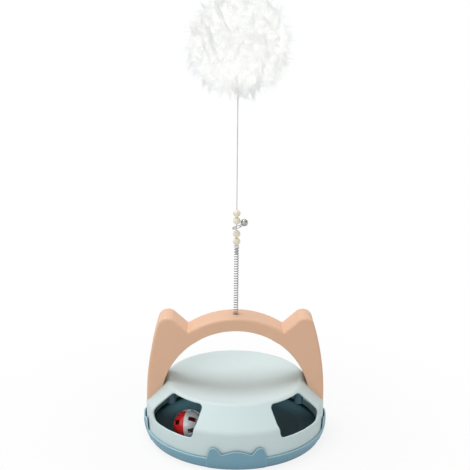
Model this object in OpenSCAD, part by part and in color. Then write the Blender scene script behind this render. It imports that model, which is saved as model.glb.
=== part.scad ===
// Cat toy: a ball track under a dished cover, and an arch that carries a feather on a spring.
// Millimetres, +Z up, origin on the floor under the middle of the tray. The front is -Y.

/* [Tray] */
// Diameter of the tray at its rim
base_d = 242; // [240:1:248]
// Height of the tray's rim above the floor
rim_z = 17.4; // [16:0.1:19]
// Diameter of the tray's flat bottom
bottom_d = 230; // [226:1:232]
// Thickness of the rubber feet
foot_h = 1.5; // [1:0.1:2.5]
// Wall thickness of the tray and the cover
wall = 2.6; // [2.2:0.1:3]
// Height of the hub that the ball rolls round
hub_z = 46; // [30:1:52]
// Half width of a cat-head tab
tab_half_w = 37.5; // [35:0.1:39]
// Height of a cat-head tab's ear tips
tab_tip_z = 31.8; // [30:0.1:34]

/* [Cover] */
// Diameter of the cover's upright wall
cover_d = 236; // [234:0.5:237]
// Radius of the dish's rim
crease_r = 90; // [86:0.5:93]
// Height of the dish's rim
crease_z = 79; // [76:0.5:82]
// Depth of the dish
dish_depth = 14; // [10:0.5:18]
// Height of a paw window's sill
sill_z = 38; // [36:0.5:42]
// Angle from the front to a paw window's inner edge
window_angle = 26.5; // [22:0.5:30]
// Distance from the arch's plane to a paw window's outer edge
window_y = 46.5; // [44:0.5:52]

/* [Arch] */
// Depth of the arch from front to back
arch_depth = 40; // [36:1:44]
// Radius of the arch's opening
arch_inner_r = 97.2; // [95:0.1:99]
// Radius of the arch's crown
arch_outer_r = 114.5; // [113:0.1:116]
// Height of the centre of both radii
arch_centre_z = 50.8; // [49:0.1:53]
// Angle of the valleys beside the ears, from the horizontal
valley_angle = 57; // [55:0.5:59]
// Radius of an ear's tip
ear_tip_r = 13; // [10:0.5:15]
// Rounding of the arch's outer edges
edge_r = 3.5; // [3:0.5:5]

/* [Ball] */
// Diameter of the ball
ball_d = 41; // [38:0.5:42]
// Radius of the circle that the ball's centre follows
track_r = 71.8; // [70:0.1:74]
// Where the ball lies on its track, from +X
ball_angle = 212.8; // [200:0.1:225]
// Slots round each half of the ball
ball_slots = 7; // [6:1:10]

/* [Spring and wand] */
// Outer diameter of the spring
spring_d = 6.5; // [6:0.1:7]
// Diameter of the spring's wire
spring_wire_d = 1.2; // [1:0.1:1.3]
// Curls of the spring
spring_curls = 30; // [24:1:34]
// Height of the spring's top
spring_top_z = 255.6; // [240:0.1:270]
// Diameter of the wand's wire
wand_d = 1.1; // [0.9:0.1:1.3]
// Diameter of a bead
bead_d = 9.8; // [9:0.1:10.4]
// Diameter of the jingle bell
bell_d = 9.6; // [9:0.1:9.8]
// Height of the middle of the feather puff
puff_z = 511; // [484:1:534]
// Diameter of the feather puff's dense part
puff_d = 114; // [100:1:130]

/* [Hidden] */
$fn = 96;

// Small gaps between pieces that meet
gap = 0.1;
slide_gap = 0.25;

// Tray
rim_r = base_d / 2;
bottom_r = bottom_d / 2;
floor_z = foot_h + 2.5;
gutter_curve_r = 60;
gutter_half_w = 16;
gutter_rise = gutter_curve_r - sqrt(gutter_curve_r * gutter_curve_r - gutter_half_w * gutter_half_w);
bench_z = floor_z + gutter_rise;
hub_r = 48.5;
tab_proud = 0.8;
foot_r = 8;
foot_circle_r = 92;

// Cover
cover_r = cover_d / 2;
cover_z = rim_z + gap;
dish_z = crease_z - dish_depth;
dish_curve_r = (crease_r * crease_r + dish_depth * dish_depth) / (2 * dish_depth);
shoulder_sum = crease_r + crease_z;
shoulder_in_sum = shoulder_sum - wall * sqrt(2);
skirt_t = 2.4;
skirt_inset = 7;
skirt_drop = 6;
window_top_r = crease_r + 3.6;
window_lean = 40;
window_turn = 225;
window_from = 70;
window_to = 160;
window_corner_r = 7;

// Screws
screw_r = 1.45;
pilot_r = 1.5;
clear_r = 1.8;
head_r = 3.1;
head_h = 2.4;
sink_r = 3.5;
cover_screw_circle_r = 30;
tray_boss_z = 12;
tray_boss_r = 6;
cover_boss_r = 5;
cover_head_z = 6;
cover_screw_length = 20;
lid_screw_length = 22;
retainer_screw_length = 20;
spring_screw_length = 12;

// Arch and what holds it
half_depth = arch_depth / 2;
lid_t = 4;
lid_front_y = half_depth - lid_t;
inner_edge_r = 1.4;
side_curve_r = 348;
side_foot_x = 116.5;
side_foot_z = 56;
ear_apex_z = 176.2;
arch_bottom_z = 44;
solid_foot_z = 88;
edge_steps = 4;
pocket_edge_r = 0.6;
foot_pull = 1.6;
peg_r = 4;
peg_x = 103;
peg_y = 9;
peg_bottom_z = 52;
post_x = 84;
post_y = 16;
post_r = 6;
post_bottom_z = 47;
post_head_z = post_bottom_z + 6;
bracket_z = 69.6;
bracket_t = 3.6;
bracket_outer_r = 110;
bracket_half_w = 24;
bracket_gap = 0.35;
bracket_inner_r = post_x - post_r;
cover_post_r = 4.6;
lid_screws = [[86, 147], [97, 105]];
lid_boss_r = 4.6;
lid_step = 1.5;
lid_boss_drop = lid_step + gap;

// Spring and its socket
crown_z = arch_centre_z + arch_outer_r;
crown_floor_z = arch_centre_z + arch_inner_r + wall;
socket_r = 5.5;
socket_bore_r = 3.8;
socket_flange_r = 8;
socket_floor_z = crown_floor_z + 4.6;
spring_mean_r = (spring_d - spring_wire_d) / 2;
spring_peg_r = spring_mean_r - spring_wire_d / 2 - 0.2;

// Wand
wand_r = wand_d / 2;
bore_r = wand_r + 0.05;
cap_h = 3;
cap_peg_h = 9;
cap_bore_h = 7;
wand_low_z = spring_top_z - cap_bore_h + gap;
bead_r = bead_d / 2;
bead_gap = 0.1;
ring_room = 7.5;
cap_top_z = spring_top_z + cap_h;
bead_4_z = cap_top_z + bead_gap + bead_r;
bead_3_z = bead_4_z + bead_d + bead_gap;
ring_z = bead_3_z + bead_r + ring_room / 2;
bead_2_z = ring_z + ring_room / 2 + bead_r;
bead_1_z = bead_2_z + bead_d + bead_gap;

// Split ring and bell: the bell points up and out from the ring's right end
ring_mean_r = 5.4;
ring_wire_r = 0.5;
ring_tilt = 18;
ring_turns = 1.5;
ring_pitch = 1.5;
ring_start = 90;
ring_steps = 24;
bell_r = bell_d / 2;
bell_wall = 0.5;
bell_lift = 45;
bell_reach = 6.6;
bell_rim = 0.3;
bell_rim_h = 0.8;
bell_slot_w = 1;
bell_slot_from = 2;
loop_r = 1.5;
loop_wire_r = 0.4;
pellet_r = 1.5;
pellet_gap = 0.3;
seam_gap = 0.04;

// Feather
puff_r = puff_d / 2;
puff_skin = 0.5;
glue_gap = 0.02;
binding_r = 2.4;
binding_taper = 5;
binding_low_z = puff_z - puff_r - binding_taper - 2;
binding_top_z = puff_z + 8;
puff_mouth_r = binding_r + glue_gap;

// Ball
ball_r = ball_d / 2;
ball_wall = 1.7;
ball_z = floor_z + slide_gap + ball_r;
ball_lip = 1.3;
ball_slot_w = 6.2;
ball_slot_from = 17;
ball_slot_to = 50;
ball_slot_turn = 17.7;
ball_lip_h = 2;
ball_pole_r = 3.2;
ball_turn = -20;
ball_tip = 81;
ball_twist = -5.7;
ball_bell_r = 7;
ball_bell_wall = 0.6;
ball_bell_slot_w = 1.2;
ball_bell_drop = ball_r - ball_wall - ball_lip - ball_bell_r - 0.6;
ball_pellet_r = 2.2;

// Helpers: outlines, lofts and tubes

function unit(v) = v / norm(v);

// Points of a closed outline whose corners are [x, y, radius]
function rounded(path, steps = 8) = [
    for (i = [0 : len(path) - 1])
        each corner(
            path[(i + len(path) - 1) % len(path)],
            path[i],
            path[(i + 1) % len(path)],
            steps
        )
];

// One corner of an outline, as an arc of its own radius
function corner(before, here, after, steps) =
    let (
        p = [here[0], here[1]],
        u = unit([before[0], before[1]] - p),
        v = unit([after[0], after[1]] - p),
        half = acos(max(-1, min(1, u * v))) / 2,
        turn = 180 - 2 * half
    )
    here[2] <= 0 || turn < 1 ? [p] :
    let (
        centre = p + unit(u + v) * here[2] / sin(half),
        from = unit(p + u * here[2] / tan(half) - centre),
        to = unit(p + v * here[2] / tan(half) - centre)
    )
    [
        for (k = [0 : steps])
            centre + here[2] * (from * sin(turn * (1 - k / steps)) + to * sin(turn * k / steps)) / sin(turn)
    ];

// Inward direction at each point of an anticlockwise outline
function inward(path) = [
    for (i = [0 : len(path) - 1])
        let (
            a = unit(path[i] - path[(i + len(path) - 1) % len(path)]),
            b = unit(path[(i + 1) % len(path)] - path[i]),
            mean = unit(a + b)
        )
        [-mean[1], mean[0]]
];

// Closed skin over rings of an even number of points, whose two halves run side by side
module skin(rings) {
    count = len(rings[0]);
    last = len(rings) - 1;
    polyhedron(
        points = [for (ring = rings) each ring],
        faces = [
            for (i = [0 : last - 1], k = [0 : count - 1])
                let (a = i * count + k, b = i * count + (k + 1) % count)
                each [[a, a + count, b], [b, a + count, b + count]],
            for (k = [0 : count / 2 - 2])
                let (e = last * count, far = count - 1 - k)
                each [
                    [k, k + 1, far],
                    [k + 1, far - 1, far],
                    [e + k, e + far, e + k + 1],
                    [e + k + 1, e + far, e + far - 1]
                ]
        ]
    );
}

// A ring of a six-sided tube round a point of a helix, square to its run
function tube_ring(at, run, r) =
    let (
        side = unit([at[0], at[1], 0]),
        up = cross(unit(run), side)
    )
    [for (k = [0 : 5]) at + r * (side * cos(60 * k) + up * sin(60 * k))];

function helix_point(r, z, a) = [r * cos(a), r * sin(a), z];

function helix_run(r, pitch, a) = unit([-r * sin(a), r * cos(a), pitch / (2 * PI)]);

// Middle line of a coil whose wire ends stand square on the faces at its two ends
function coil_points(r, low, high, curls, tail, rings) =
    let (
        steps = curls * rings,
        first = low + tail,
        rise = high - low - 2 * tail
    )
    concat(
        [helix_point(r, low, 0)],
        [for (i = [0 : steps]) helix_point(r, first + rise * i / steps, 360 * i / rings)],
        [helix_point(r, high, 360 * curls)]
    );

// Runs that go with coil_points: upright at the ends, mitred at the two bends
function coil_runs(r, low, high, curls, tail, rings) =
    let (
        steps = curls * rings,
        pitch = (high - low - 2 * tail) / curls,
        bend = unit([0, 0, 1] + helix_run(r, pitch, 0)),
        last_bend = unit([0, 0, 1] + helix_run(r, pitch, 360 * curls))
    )
    concat(
        [[0, 0, 1], bend],
        [for (i = [1 : steps - 1]) helix_run(r, pitch, 360 * i / rings)],
        [last_bend, [0, 0, 1]]
    );

// Least clear distance of a tube to itself, leaving out its own near neighbours
function least_gap(points, d, apart) = min([
    for (i = [0 : len(points) - 1 - apart])
        min([for (j = [i + apart : min(len(points) - 1, i + 3 * apart)]) norm(points[i] - points[j])])
]) - d;

module both_sides() {
    children();
    mirror([1, 0, 0]) children();
}

module four_quarters() {
    both_sides() {
        children();
        mirror([0, 1, 0]) children();
    }
}

module screw(length) {
    translate([0, 0, -head_h]) cylinder(r = head_r, h = head_h);
    cylinder(r = screw_r, h = length);
}

// Tray

module tray_profile() {
    ledge_r = cover_r - wall / 2;
    polygon(rounded([
        [0, foot_h, 0],
        [bottom_r, foot_h, 3],
        [rim_r, rim_z - 1, 1.5],
        [rim_r - 0.4, rim_z, 0],
        [ledge_r, rim_z, 0],
        [ledge_r, rim_z - 1.4, 0],
        [bottom_r - 0.5, bench_z, 3],
        for (k = [8 : -1 : -8])
            let (a = asin(gutter_half_w / gutter_curve_r) * k / 8)
            [
                track_r + gutter_curve_r * sin(a),
                floor_z + gutter_curve_r * (1 - cos(a)),
                0
            ],
        [hub_r, bench_z, 2],
        [hub_r, hub_z, 1],
        [hub_r - wall, hub_z, 1],
        [hub_r - wall, floor_z, 0],
        [0, floor_z, 0]
    ]));
}

// Front view of a cat-head tab
module tab_outline() {
    ear_x = tab_half_w * 0.79;
    valley_x = tab_half_w * 0.525;
    half = [
        [tab_half_w, foot_h + 0.6, 2],
        [tab_half_w, tab_tip_z - 7.3, 5],
        [ear_x, tab_tip_z + 2.7, 4.2],
        [valley_x, tab_tip_z - 8, 2.5]
    ];
    polygon(rounded([
        for (p = half) p,
        [0, tab_tip_z - 1, 30],
        for (k = [3 : -1 : 0]) [-half[k][0], half[k][1], half[k][2]]
    ]));
}

// One tab: a slice of a proud skin that follows the tray's wall and then stands in front of the cover
module tab() {
    intersection() {
        rotate_extrude() polygon([
            [bottom_r - 1, foot_h + 0.3],
            [bottom_r + tab_proud, foot_h + 0.3],
            [rim_r + tab_proud, rim_z - 1],
            [rim_r + tab_proud, tab_tip_z + 2],
            [cover_r + slide_gap, tab_tip_z + 2],
            [cover_r + slide_gap, rim_z],
            [rim_r - wall, rim_z - 2]
        ]);
        rotate([90, 0, 0]) linear_extrude(rim_r + 10) tab_outline();
    }
}

module base_tray() {
    color([0.41, 0.55, 0.61]) difference() {
        union() {
            rotate_extrude() tray_profile();
            for (side = [0 : 90 : 270]) rotate(side) tab();
            cover_screw_places() translate([0, 0, floor_z - 1])
                cylinder(r = tray_boss_r, h = tray_boss_z - floor_z + 1);
        }
        cover_screw_places() {
            cylinder(r = clear_r, h = tray_boss_z + 1);
            cylinder(r = sink_r, h = cover_head_z);
        }
    }
}

module cover_screw_places() {
    for (a = [45 : 90 : 315]) rotate(a) translate([cover_screw_circle_r, 0, 0]) children();
}

module rubber_feet() {
    color([0.16, 0.17, 0.18])
        for (a = [45 : 90 : 315]) rotate(a) translate([foot_circle_r, 0, 0])
            rotate_extrude() polygon(rounded([
                [0, 0, 0], [foot_r, 0, 0.5], [foot_r, foot_h, 0], [0, foot_h, 0]
            ]));
}

module cover_screws() {
    color([0.72, 0.73, 0.75])
        cover_screw_places() translate([0, 0, cover_head_z]) screw(cover_screw_length);
}

// Cover

function dish_at(r) = dish_z + dish_curve_r - sqrt(dish_curve_r * dish_curve_r - r * r);

// Half section of the cover's outside, down to height low
module cover_outside(low, grow = 0) {
    polygon(rounded([
        for (k = [0 : 15])
            let (r = crease_r * k / 16)
            [r, dish_at(r) + grow, 0],
        [crease_r, crease_z + grow * 1.1, 6],
        [cover_r + grow, shoulder_sum - cover_r + grow * 0.4, 10],
        [cover_r + grow, low, 0],
        [0, low, 0]
    ], 10));
}

// Half section of the space inside the cover
module cover_inside() {
    polygon(rounded([
        for (k = [0 : 15])
            let (r = crease_r * k / 16)
            [r, dish_at(r) - wall, 0],
        [crease_r - 0.31 * wall, crease_z - 1.1 * wall, 4],
        [cover_r - wall, shoulder_in_sum - cover_r + wall, 8],
        [cover_r - wall, 0, 0],
        [0, 0, 0]
    ], 10));
}

// A point on the cover's outside, at an angle from the front towards -X
function on_cover(r, z, a) = [-r * sin(a), -r * cos(a), z];

// Where the window's outer edge, in a plane of constant Y, meets radius r
function edge_angle(r) = acos(window_y / r);

// The front left window's outline on the cover, seen along its own lean
function window_corners() =
    let (
        top_z = shoulder_sum - window_top_r,
        bend_r = cover_r - 5,
        bend_z = shoulder_sum - bend_r,
        far = edge_angle(window_top_r),
        far_low = edge_angle(cover_r)
    )
    [
        [on_cover(window_top_r, top_z, window_angle), window_corner_r],
        for (k = [1 : 3])
            [on_cover(window_top_r, top_z, window_angle + (far - window_angle) * k / 4), 40],
        [on_cover(window_top_r, top_z, far), window_corner_r],
        [on_cover(bend_r, bend_z, edge_angle(bend_r)), 20],
        [on_cover(cover_r, sill_z, far_low), window_corner_r * 1.4],
        for (k = [3 : -1 : 1])
            [on_cover(cover_r, sill_z, window_angle + 1 + (far_low - window_angle) * k / 4), 60],
        [on_cover(cover_r, sill_z, window_angle + 1), window_corner_r * 0.8],
        [on_cover(bend_r, bend_z, window_angle), 20]
    ];

module window_cut() {
    flat = sin(window_lean);
    down = [flat * cos(window_turn), flat * sin(window_turn), -cos(window_lean)];
    along = [-sin(window_turn), cos(window_turn), 0];
    rotate([0, 90 - window_lean, window_turn])
        translate([0, 0, window_from]) linear_extrude(window_to - window_from)
            polygon(rounded([
                for (c = window_corners()) [c[0] * down, c[0] * along, c[1]]
            ], 6));
}

module post_places() {
    four_quarters() translate([post_x, post_y, 0]) children();
}

module peg_places() {
    four_quarters() translate([peg_x, peg_y, 0]) children();
}

// Ring inside the cover's foot that drops into the tray
module cover_skirt() {
    inner_r = cover_r - skirt_inset;
    outer_r = inner_r + skirt_t;
    rotate_extrude() polygon([
        [inner_r, rim_z - skirt_drop],
        [outer_r, rim_z - skirt_drop],
        [outer_r, cover_z],
        [cover_r - wall / 2, cover_z],
        [cover_r - wall / 2, cover_z + 3],
        [inner_r, cover_z + 3]
    ]);
}

module cover_posts() {
    intersection() {
        rotate_extrude() cover_outside(0, -wall / 2);
        union() {
            cover_screw_places() translate([0, 0, tray_boss_z + gap])
                cylinder(r = cover_boss_r, h = crease_z);
            post_places() translate([0, 0, bracket_z + gap])
                cylinder(r = cover_post_r, h = crease_z);
        }
    }
}

module track_cover() {
    color([0.86, 0.91, 0.91]) difference() {
        union() {
            difference() {
                rotate_extrude() cover_outside(cover_z);
                rotate_extrude() cover_inside();
            }
            cover_skirt();
            cover_posts();
        }
        four_quarters() window_cut();
        cover_screw_places() cylinder(r = pilot_r, h = cover_head_z + cover_screw_length + 2);
        post_places() cylinder(r = pilot_r, h = post_head_z + retainer_screw_length + 1);
        peg_places() cylinder(r = peg_r + slide_gap, h = crease_z);
    }
}

// Arch

// How far out the arch's side stands at a height
function side_x(z) =
    side_foot_x - side_curve_r + sqrt(side_curve_r * side_curve_r - (z - side_foot_z) * (z - side_foot_z));

// Right half of the arch's outline, from the foot up to the crown, as rounded corners
function arch_half() = [
    [side_foot_x, arch_bottom_z, 0],
    for (k = [0 : 9])
        let (z = side_foot_z + (ear_apex_z - side_foot_z) * k / 11)
        [side_x(z), z, 0],
    [side_x(ear_apex_z), ear_apex_z, ear_tip_r],
    [
        arch_outer_r * cos(valley_angle),
        arch_centre_z + arch_outer_r * sin(valley_angle),
        2.5
    ],
    for (k = [1 : 8])
        let (a = valley_angle + (90 - valley_angle) * k / 8)
        [arch_outer_r * cos(a), arch_centre_z + arch_outer_r * sin(a), 0]
];

function mirrored(path) = [for (i = [len(path) - 2 : -1 : 0]) [-path[i][0], path[i][1], path[i][2]]];

// The outside from the right foot over the crown to the left foot, and the inward direction there
arch_outside = rounded(concat(arch_half(), mirrored(arch_half())), 9);
arch_inward = inward(arch_outside);
arch_count = len(arch_outside);

// Share of the outside's length that lies before each of its points
arch_steps = [for (i = [1 : arch_count - 1]) norm(arch_outside[i] - arch_outside[i - 1])];
arch_runs = [for (i = 0, run = 0; i < arch_count - 1; run = run + arch_steps[i], i = i + 1) run];
arch_length = arch_runs[arch_count - 2] + arch_steps[arch_count - 2];
arch_along = [for (run = concat(arch_runs, [arch_length])) run / arch_length];

// Directions from the arch's centre to the opening, evenly spread from foot to foot
foot_angle = atan2(arch_bottom_z - arch_centre_z, side_foot_x);
arch_spokes = [
    for (share = arch_along)
        let (a = foot_angle + (180 - 2 * foot_angle) * share)
        [cos(a), sin(a)]
];

// Points of the outside and of the opening, pulled into the arch's material
function outside_at(i, by) = arch_outside[i] + arch_inward[i] * by;

function opening_at(i, by) = [0, arch_centre_z] + arch_spokes[i] * (arch_inner_r + by);

function at_depth(p, y) = [p[0], y, p[1]];

// Line across the arch at one place along it, from one side of its open end round to the other,
// with its own roundings beside the opening and outside, and pulled into the material
function arch_section(i, face, flat, near, far, pull) =
    let (way = face < flat ? 1 : -1)
    [
        at_depth(opening_at(i, pull), flat),
        for (a = [0 : 45 : 90])
            at_depth(opening_at(i, pull + near * (1 - cos(a))), face + way * near * (1 - sin(a))),
        for (a = [0 : 90 / edge_steps : 90])
            at_depth(outside_at(i, pull + far * (1 - sin(a))), face + way * far * (1 - cos(a))),
        at_depth(outside_at(i, pull), flat)
    ];

function backwards(list) = [for (k = [len(list) - 1 : -1 : 0]) list[k]];

// The shell is a channel: its outside, and back along the pocket that is open to the rear
function shell_section(i) = concat(
    arch_section(i, -half_depth, lid_front_y, inner_edge_r, edge_r, 0),
    backwards(arch_section(i, wall - half_depth, lid_front_y, pocket_edge_r, edge_r - wall, wall))
);

function lid_section(i) =
    arch_section(i, half_depth, lid_front_y + gap, inner_edge_r, edge_r * 0.8, 0);

// A flat slice of the arch, pulled in all round
module arch_slice(pull_in, front, back) {
    translate([0, back, 0]) rotate([90, 0, 0]) linear_extrude(back - front)
        polygon(concat(
            [for (i = [0 : arch_count - 1]) outside_at(i, pull_in)],
            [for (i = [arch_count - 1 : -1 : 0]) opening_at(i, pull_in)]
        ));
}

// Blocks that fill the channel's two feet
module foot_blocks() {
    intersection() {
        arch_slice(foot_pull, foot_pull - half_depth, lid_front_y - 1);
        translate([-cover_r, -arch_depth, peg_bottom_z])
            cube([cover_d, 2 * arch_depth, solid_foot_z - peg_bottom_z]);
    }
}

module cover_body(grow) {
    rotate_extrude() cover_outside(0, grow);
}

module lid_screw_places() {
    both_sides() for (at = lid_screws) translate([at[0], 0, at[1]]) rotate([90, 0, 0]) children();
}

module arch_shell() {
    color([0.85, 0.70, 0.59]) {
        difference() {
            union() {
                skin([for (i = [0 : arch_count - 1]) shell_section(i)]);
                foot_blocks();
                lid_screw_places() translate([0, 0, lid_boss_drop - lid_front_y])
                    cylinder(r = lid_boss_r, h = arch_depth - lid_t - lid_boss_drop - 1);
            }
            cover_body(gap);
            translate([0, 0, crown_z - 9]) cylinder(r = socket_r + gap, h = 12);
            translate([0, 0, crown_floor_z - 9]) cylinder(r = clear_r, h = 12);
            lid_screw_places() translate([0, 0, -half_depth])
                cylinder(r = pilot_r, h = head_h + lid_screw_length + 2);
        }
        peg_places() translate([0, 0, peg_bottom_z])
            cylinder(r = peg_r, h = solid_foot_z - peg_bottom_z - 4);
    }
}

module arch_rear_cover() {
    color([0.85, 0.70, 0.59]) difference() {
        union() {
            skin([for (i = [arch_count - 1 : -1 : 0]) lid_section(i)]);
            lid_screw_places() translate([0, 0, -lid_front_y - 1])
                cylinder(r = lid_boss_r, h = lid_step + 1);
        }
        cover_body(gap);
        lid_screw_places() translate([0, 0, -half_depth - 1]) {
            cylinder(r = clear_r, h = arch_depth);
            cylinder(r = sink_r, h = head_h + 1);
        }
    }
}

module rear_cover_screws() {
    color([0.72, 0.73, 0.75])
        lid_screw_places() translate([0, 0, head_h - half_depth]) screw(lid_screw_length);
}

// Angle bracket under the cover's shoulder that grips one foot of the arch
module arch_retainer() {
    low_sum = shoulder_in_sum - bracket_gap;
    leg = bracket_t * sqrt(2) / 2;
    difference() {
        union() {
            intersection() {
                rotate_extrude() polygon([
                    [bracket_inner_r, bracket_z - bracket_t],
                    [low_sum - bracket_z - bracket_t * 0.4, bracket_z - bracket_t],
                    [bracket_outer_r - leg, low_sum - bracket_outer_r - leg],
                    [bracket_outer_r, low_sum - bracket_outer_r],
                    [low_sum - bracket_z, bracket_z],
                    [bracket_inner_r, bracket_z]
                ]);
                translate([0, -bracket_half_w, 0]) cube([cover_r, 2 * bracket_half_w, crease_z]);
            }
            for (y = [-post_y, post_y]) translate([post_x, y, post_bottom_z])
                cylinder(r = post_r, h = bracket_z - post_bottom_z);
        }
        for (y = [-post_y, post_y]) translate([post_x, y, 0]) {
            cylinder(r = clear_r, h = crease_z);
            cylinder(r = sink_r, h = post_head_z);
        }
        for (y = [-peg_y, peg_y]) translate([peg_x, y, 0])
            cylinder(r = peg_r + slide_gap, h = crease_z);
    }
}

module arch_retainer_left() {
    color([0.41, 0.55, 0.61]) mirror([1, 0, 0]) arch_retainer();
}

module arch_retainer_right() {
    color([0.41, 0.55, 0.61]) arch_retainer();
}

module retainer_screws() {
    color([0.72, 0.73, 0.75])
        post_places() translate([0, 0, post_head_z]) screw(retainer_screw_length);
}

// Spring and its ends

module spring_socket() {
    color([0.80, 0.66, 0.55]) difference() {
        union() {
            translate([0, 0, crown_floor_z + gap]) cylinder(r = socket_flange_r, h = 2.4);
            translate([0, 0, crown_floor_z + gap]) cylinder(r = socket_r, h = crown_z - crown_floor_z - 0.5);
        }
        difference() {
            translate([0, 0, socket_floor_z]) cylinder(r = socket_bore_r, h = 30);
            cylinder(r = spring_peg_r, h = crown_z - 2);
        }
        cylinder(r = pilot_r, h = crown_z - 5);
    }
}

module spring_screw() {
    color([0.72, 0.73, 0.75])
        translate([0, 0, crown_floor_z - wall - gap]) screw(spring_screw_length);
}

spring_line = coil_points(
    spring_mean_r, socket_floor_z, spring_top_z, spring_curls, spring_wire_d, 8
);
spring_runs = coil_runs(
    spring_mean_r, socket_floor_z, spring_top_z, spring_curls, spring_wire_d, 8
);

module coil_spring() {
    color([0.78, 0.79, 0.81])
        skin([
            for (i = [0 : len(spring_line) - 1])
                tube_ring(spring_line[i], spring_runs[i], spring_wire_d / 2)
        ]);
}

module spring_cap() {
    color([0.95, 0.95, 0.94]) difference() {
        union() {
            translate([0, 0, spring_top_z]) rotate_extrude() polygon(rounded([
                [0, 0, 0], [spring_d / 2 + 0.2, 0, 0.3], [spring_d / 2 + 0.2, cap_h, 0.8], [0, cap_h, 0]
            ]));
            translate([0, 0, spring_top_z - cap_peg_h]) cylinder(r = spring_peg_r, h = cap_peg_h + 1);
        }
        translate([0, 0, spring_top_z - cap_bore_h]) cylinder(r = wand_r + glue_gap, h = 20);
    }
}

// Wand

module wand_wire() {
    color([0.74, 0.75, 0.76])
        translate([0, 0, wand_low_z]) cylinder(r = wand_r, h = binding_top_z - 2 - wand_low_z);
}

// A round bead with a drilled hole and slightly flat poles
module bead(z) {
    flat = 0.05;
    color([0.96, 0.92, 0.84]) translate([0, 0, z]) difference() {
        intersection() {
            sphere(r = bead_r + flat);
            translate([0, 0, -bead_r]) cylinder(r = bead_r + 1, h = bead_d);
        }
        translate([0, 0, -bead_r - 1]) cylinder(r = bore_r, h = bead_d + 2);
    }
}

module bead_1() { bead(bead_1_z); }

module bead_2() { bead(bead_2_z); }

module bead_3() { bead(bead_3_z); }

module bead_4() { bead(bead_4_z); }

// The ring's own frame: centred on the wire and tipped up to the right
module in_ring() {
    translate([0, 0, ring_z]) rotate([0, -ring_tilt, 0]) children();
}

ring_angles = [for (i = [0 : ring_turns * ring_steps]) ring_start + 360 * i / ring_steps];
ring_line = [
    for (a = ring_angles)
        helix_point(ring_mean_r, ring_pitch * ((a - ring_start) / 360 - ring_turns / 2), a)
];

module bell_ring() {
    color([0.75, 0.75, 0.76]) in_ring()
        skin([
            for (i = [0 : len(ring_line) - 1])
                tube_ring(ring_line[i], helix_run(ring_mean_r, ring_pitch, ring_angles[i]), ring_wire_r)
        ]);
}

// The bell's own frame: its loop is round the ring's right end, and it points along +Z
module in_bell() {
    hook = [ring_mean_r * cos(ring_tilt), 0, ring_z + ring_mean_r * sin(ring_tilt)];
    translate(hook) rotate([0, 90 - bell_lift, 0]) translate([0, 0, bell_reach]) children();
}

module bell_shell() {
    difference() {
        union() {
            sphere(r = bell_r);
            cylinder(r = bell_r + bell_rim, h = bell_rim_h, center = true);
        }
        sphere(r = bell_r - bell_wall);
    }
}

// Half with the hanging loop
module bell_upper() {
    color([0.78, 0.78, 0.79]) in_bell() {
        intersection() {
            bell_shell();
            translate([0, 0, -bell_d - seam_gap / 2]) cylinder(r = bell_d, h = bell_d);
        }
        translate([0, 0, -bell_r - loop_r + 0.2]) rotate([90, 0, 0])
            rotate_extrude() translate([loop_r, 0]) circle(r = loop_wire_r, $fn = 24);
    }
}

// Half with the sound slots
module bell_lower() {
    color([0.78, 0.78, 0.79]) in_bell() difference() {
        intersection() {
            bell_shell();
            translate([0, 0, seam_gap / 2]) cylinder(r = bell_d, h = bell_d);
        }
        for (a = [0, 90]) rotate(a) translate([-bell_d, -bell_slot_w / 2, bell_slot_from])
            cube([2 * bell_d, bell_slot_w, bell_d]);
    }
}

module bell_pellet() {
    color([0.6, 0.6, 0.6]) in_bell()
        translate([0, 0, bell_wall + pellet_r + pellet_gap - bell_r]) sphere(r = pellet_r);
}

// Feather

module feather_binding() {
    color([0.93, 0.92, 0.89]) difference() {
        translate([0, 0, binding_low_z]) rotate_extrude() polygon(rounded([
            [0, 0, 0],
            [binding_r * 0.6, 0, 0.4],
            [binding_r, binding_taper, 4],
            [binding_r, binding_top_z - binding_low_z, 1],
            [0, binding_top_z - binding_low_z, 0]
        ]));
        translate([0, 0, binding_low_z - 1])
            cylinder(r = wand_r + glue_gap, h = binding_top_z - binding_low_z);
    }
}

// Closed outer form of the puff: a light skin with a mouth for the wire
module feather_puff() {
    color([0.98, 0.98, 0.97]) translate([0, 0, puff_z]) difference() {
        sphere(r = puff_r);
        sphere(r = puff_r - puff_skin);
        translate([0, 0, -puff_r - 1]) cylinder(r = puff_mouth_r, h = puff_r);
    }
}

// Ball

module at_ball() {
    rotate(ball_angle) translate([track_r, 0, ball_z]) rotate(-ball_angle) children();
}

// The ball's own frame: +Z is the white pole, turned to the right and a little to the front
module in_ball() {
    at_ball() rotate([0, ball_tip, ball_turn]) rotate(ball_twist) children();
}

// Half of the ball above its seam, with a ring of slots
module half_ball(lip) {
    inner_r = ball_r - ball_wall;
    difference() {
        union() {
            difference() {
                sphere(r = ball_r);
                sphere(r = inner_r);
                translate([0, 0, seam_gap - ball_d]) cylinder(r = ball_d, h = ball_d);
            }
            if (lip) translate([0, 0, -ball_lip_h]) difference() {
                cylinder(r = inner_r - gap, h = 2 * ball_lip_h);
                translate([0, 0, -1]) cylinder(r = inner_r - ball_lip, h = 2 * ball_lip_h + 2);
            }
        }
        for (i = [0 : ball_slots - 1]) rotate(360 * i / ball_slots + ball_slot_turn) slot_cut();
        cylinder(r = ball_pole_r, h = ball_d);
    }
}

module slot_cut() {
    low = ball_r * sin(ball_slot_from);
    high = ball_r * sin(ball_slot_to);
    translate([0, -ball_slot_w / 2, low]) cube([ball_d, ball_slot_w, high - low]);
}

module ball_white_half() {
    color([0.93, 0.95, 0.95]) in_ball() half_ball(true);
}

module ball_red_half() {
    color([0.80, 0.14, 0.11]) in_ball() rotate([180, 0, 0]) half_ball(false);
}

module in_ball_bell() {
    at_ball() translate([0, 0, -ball_bell_drop]) children();
}

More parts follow.
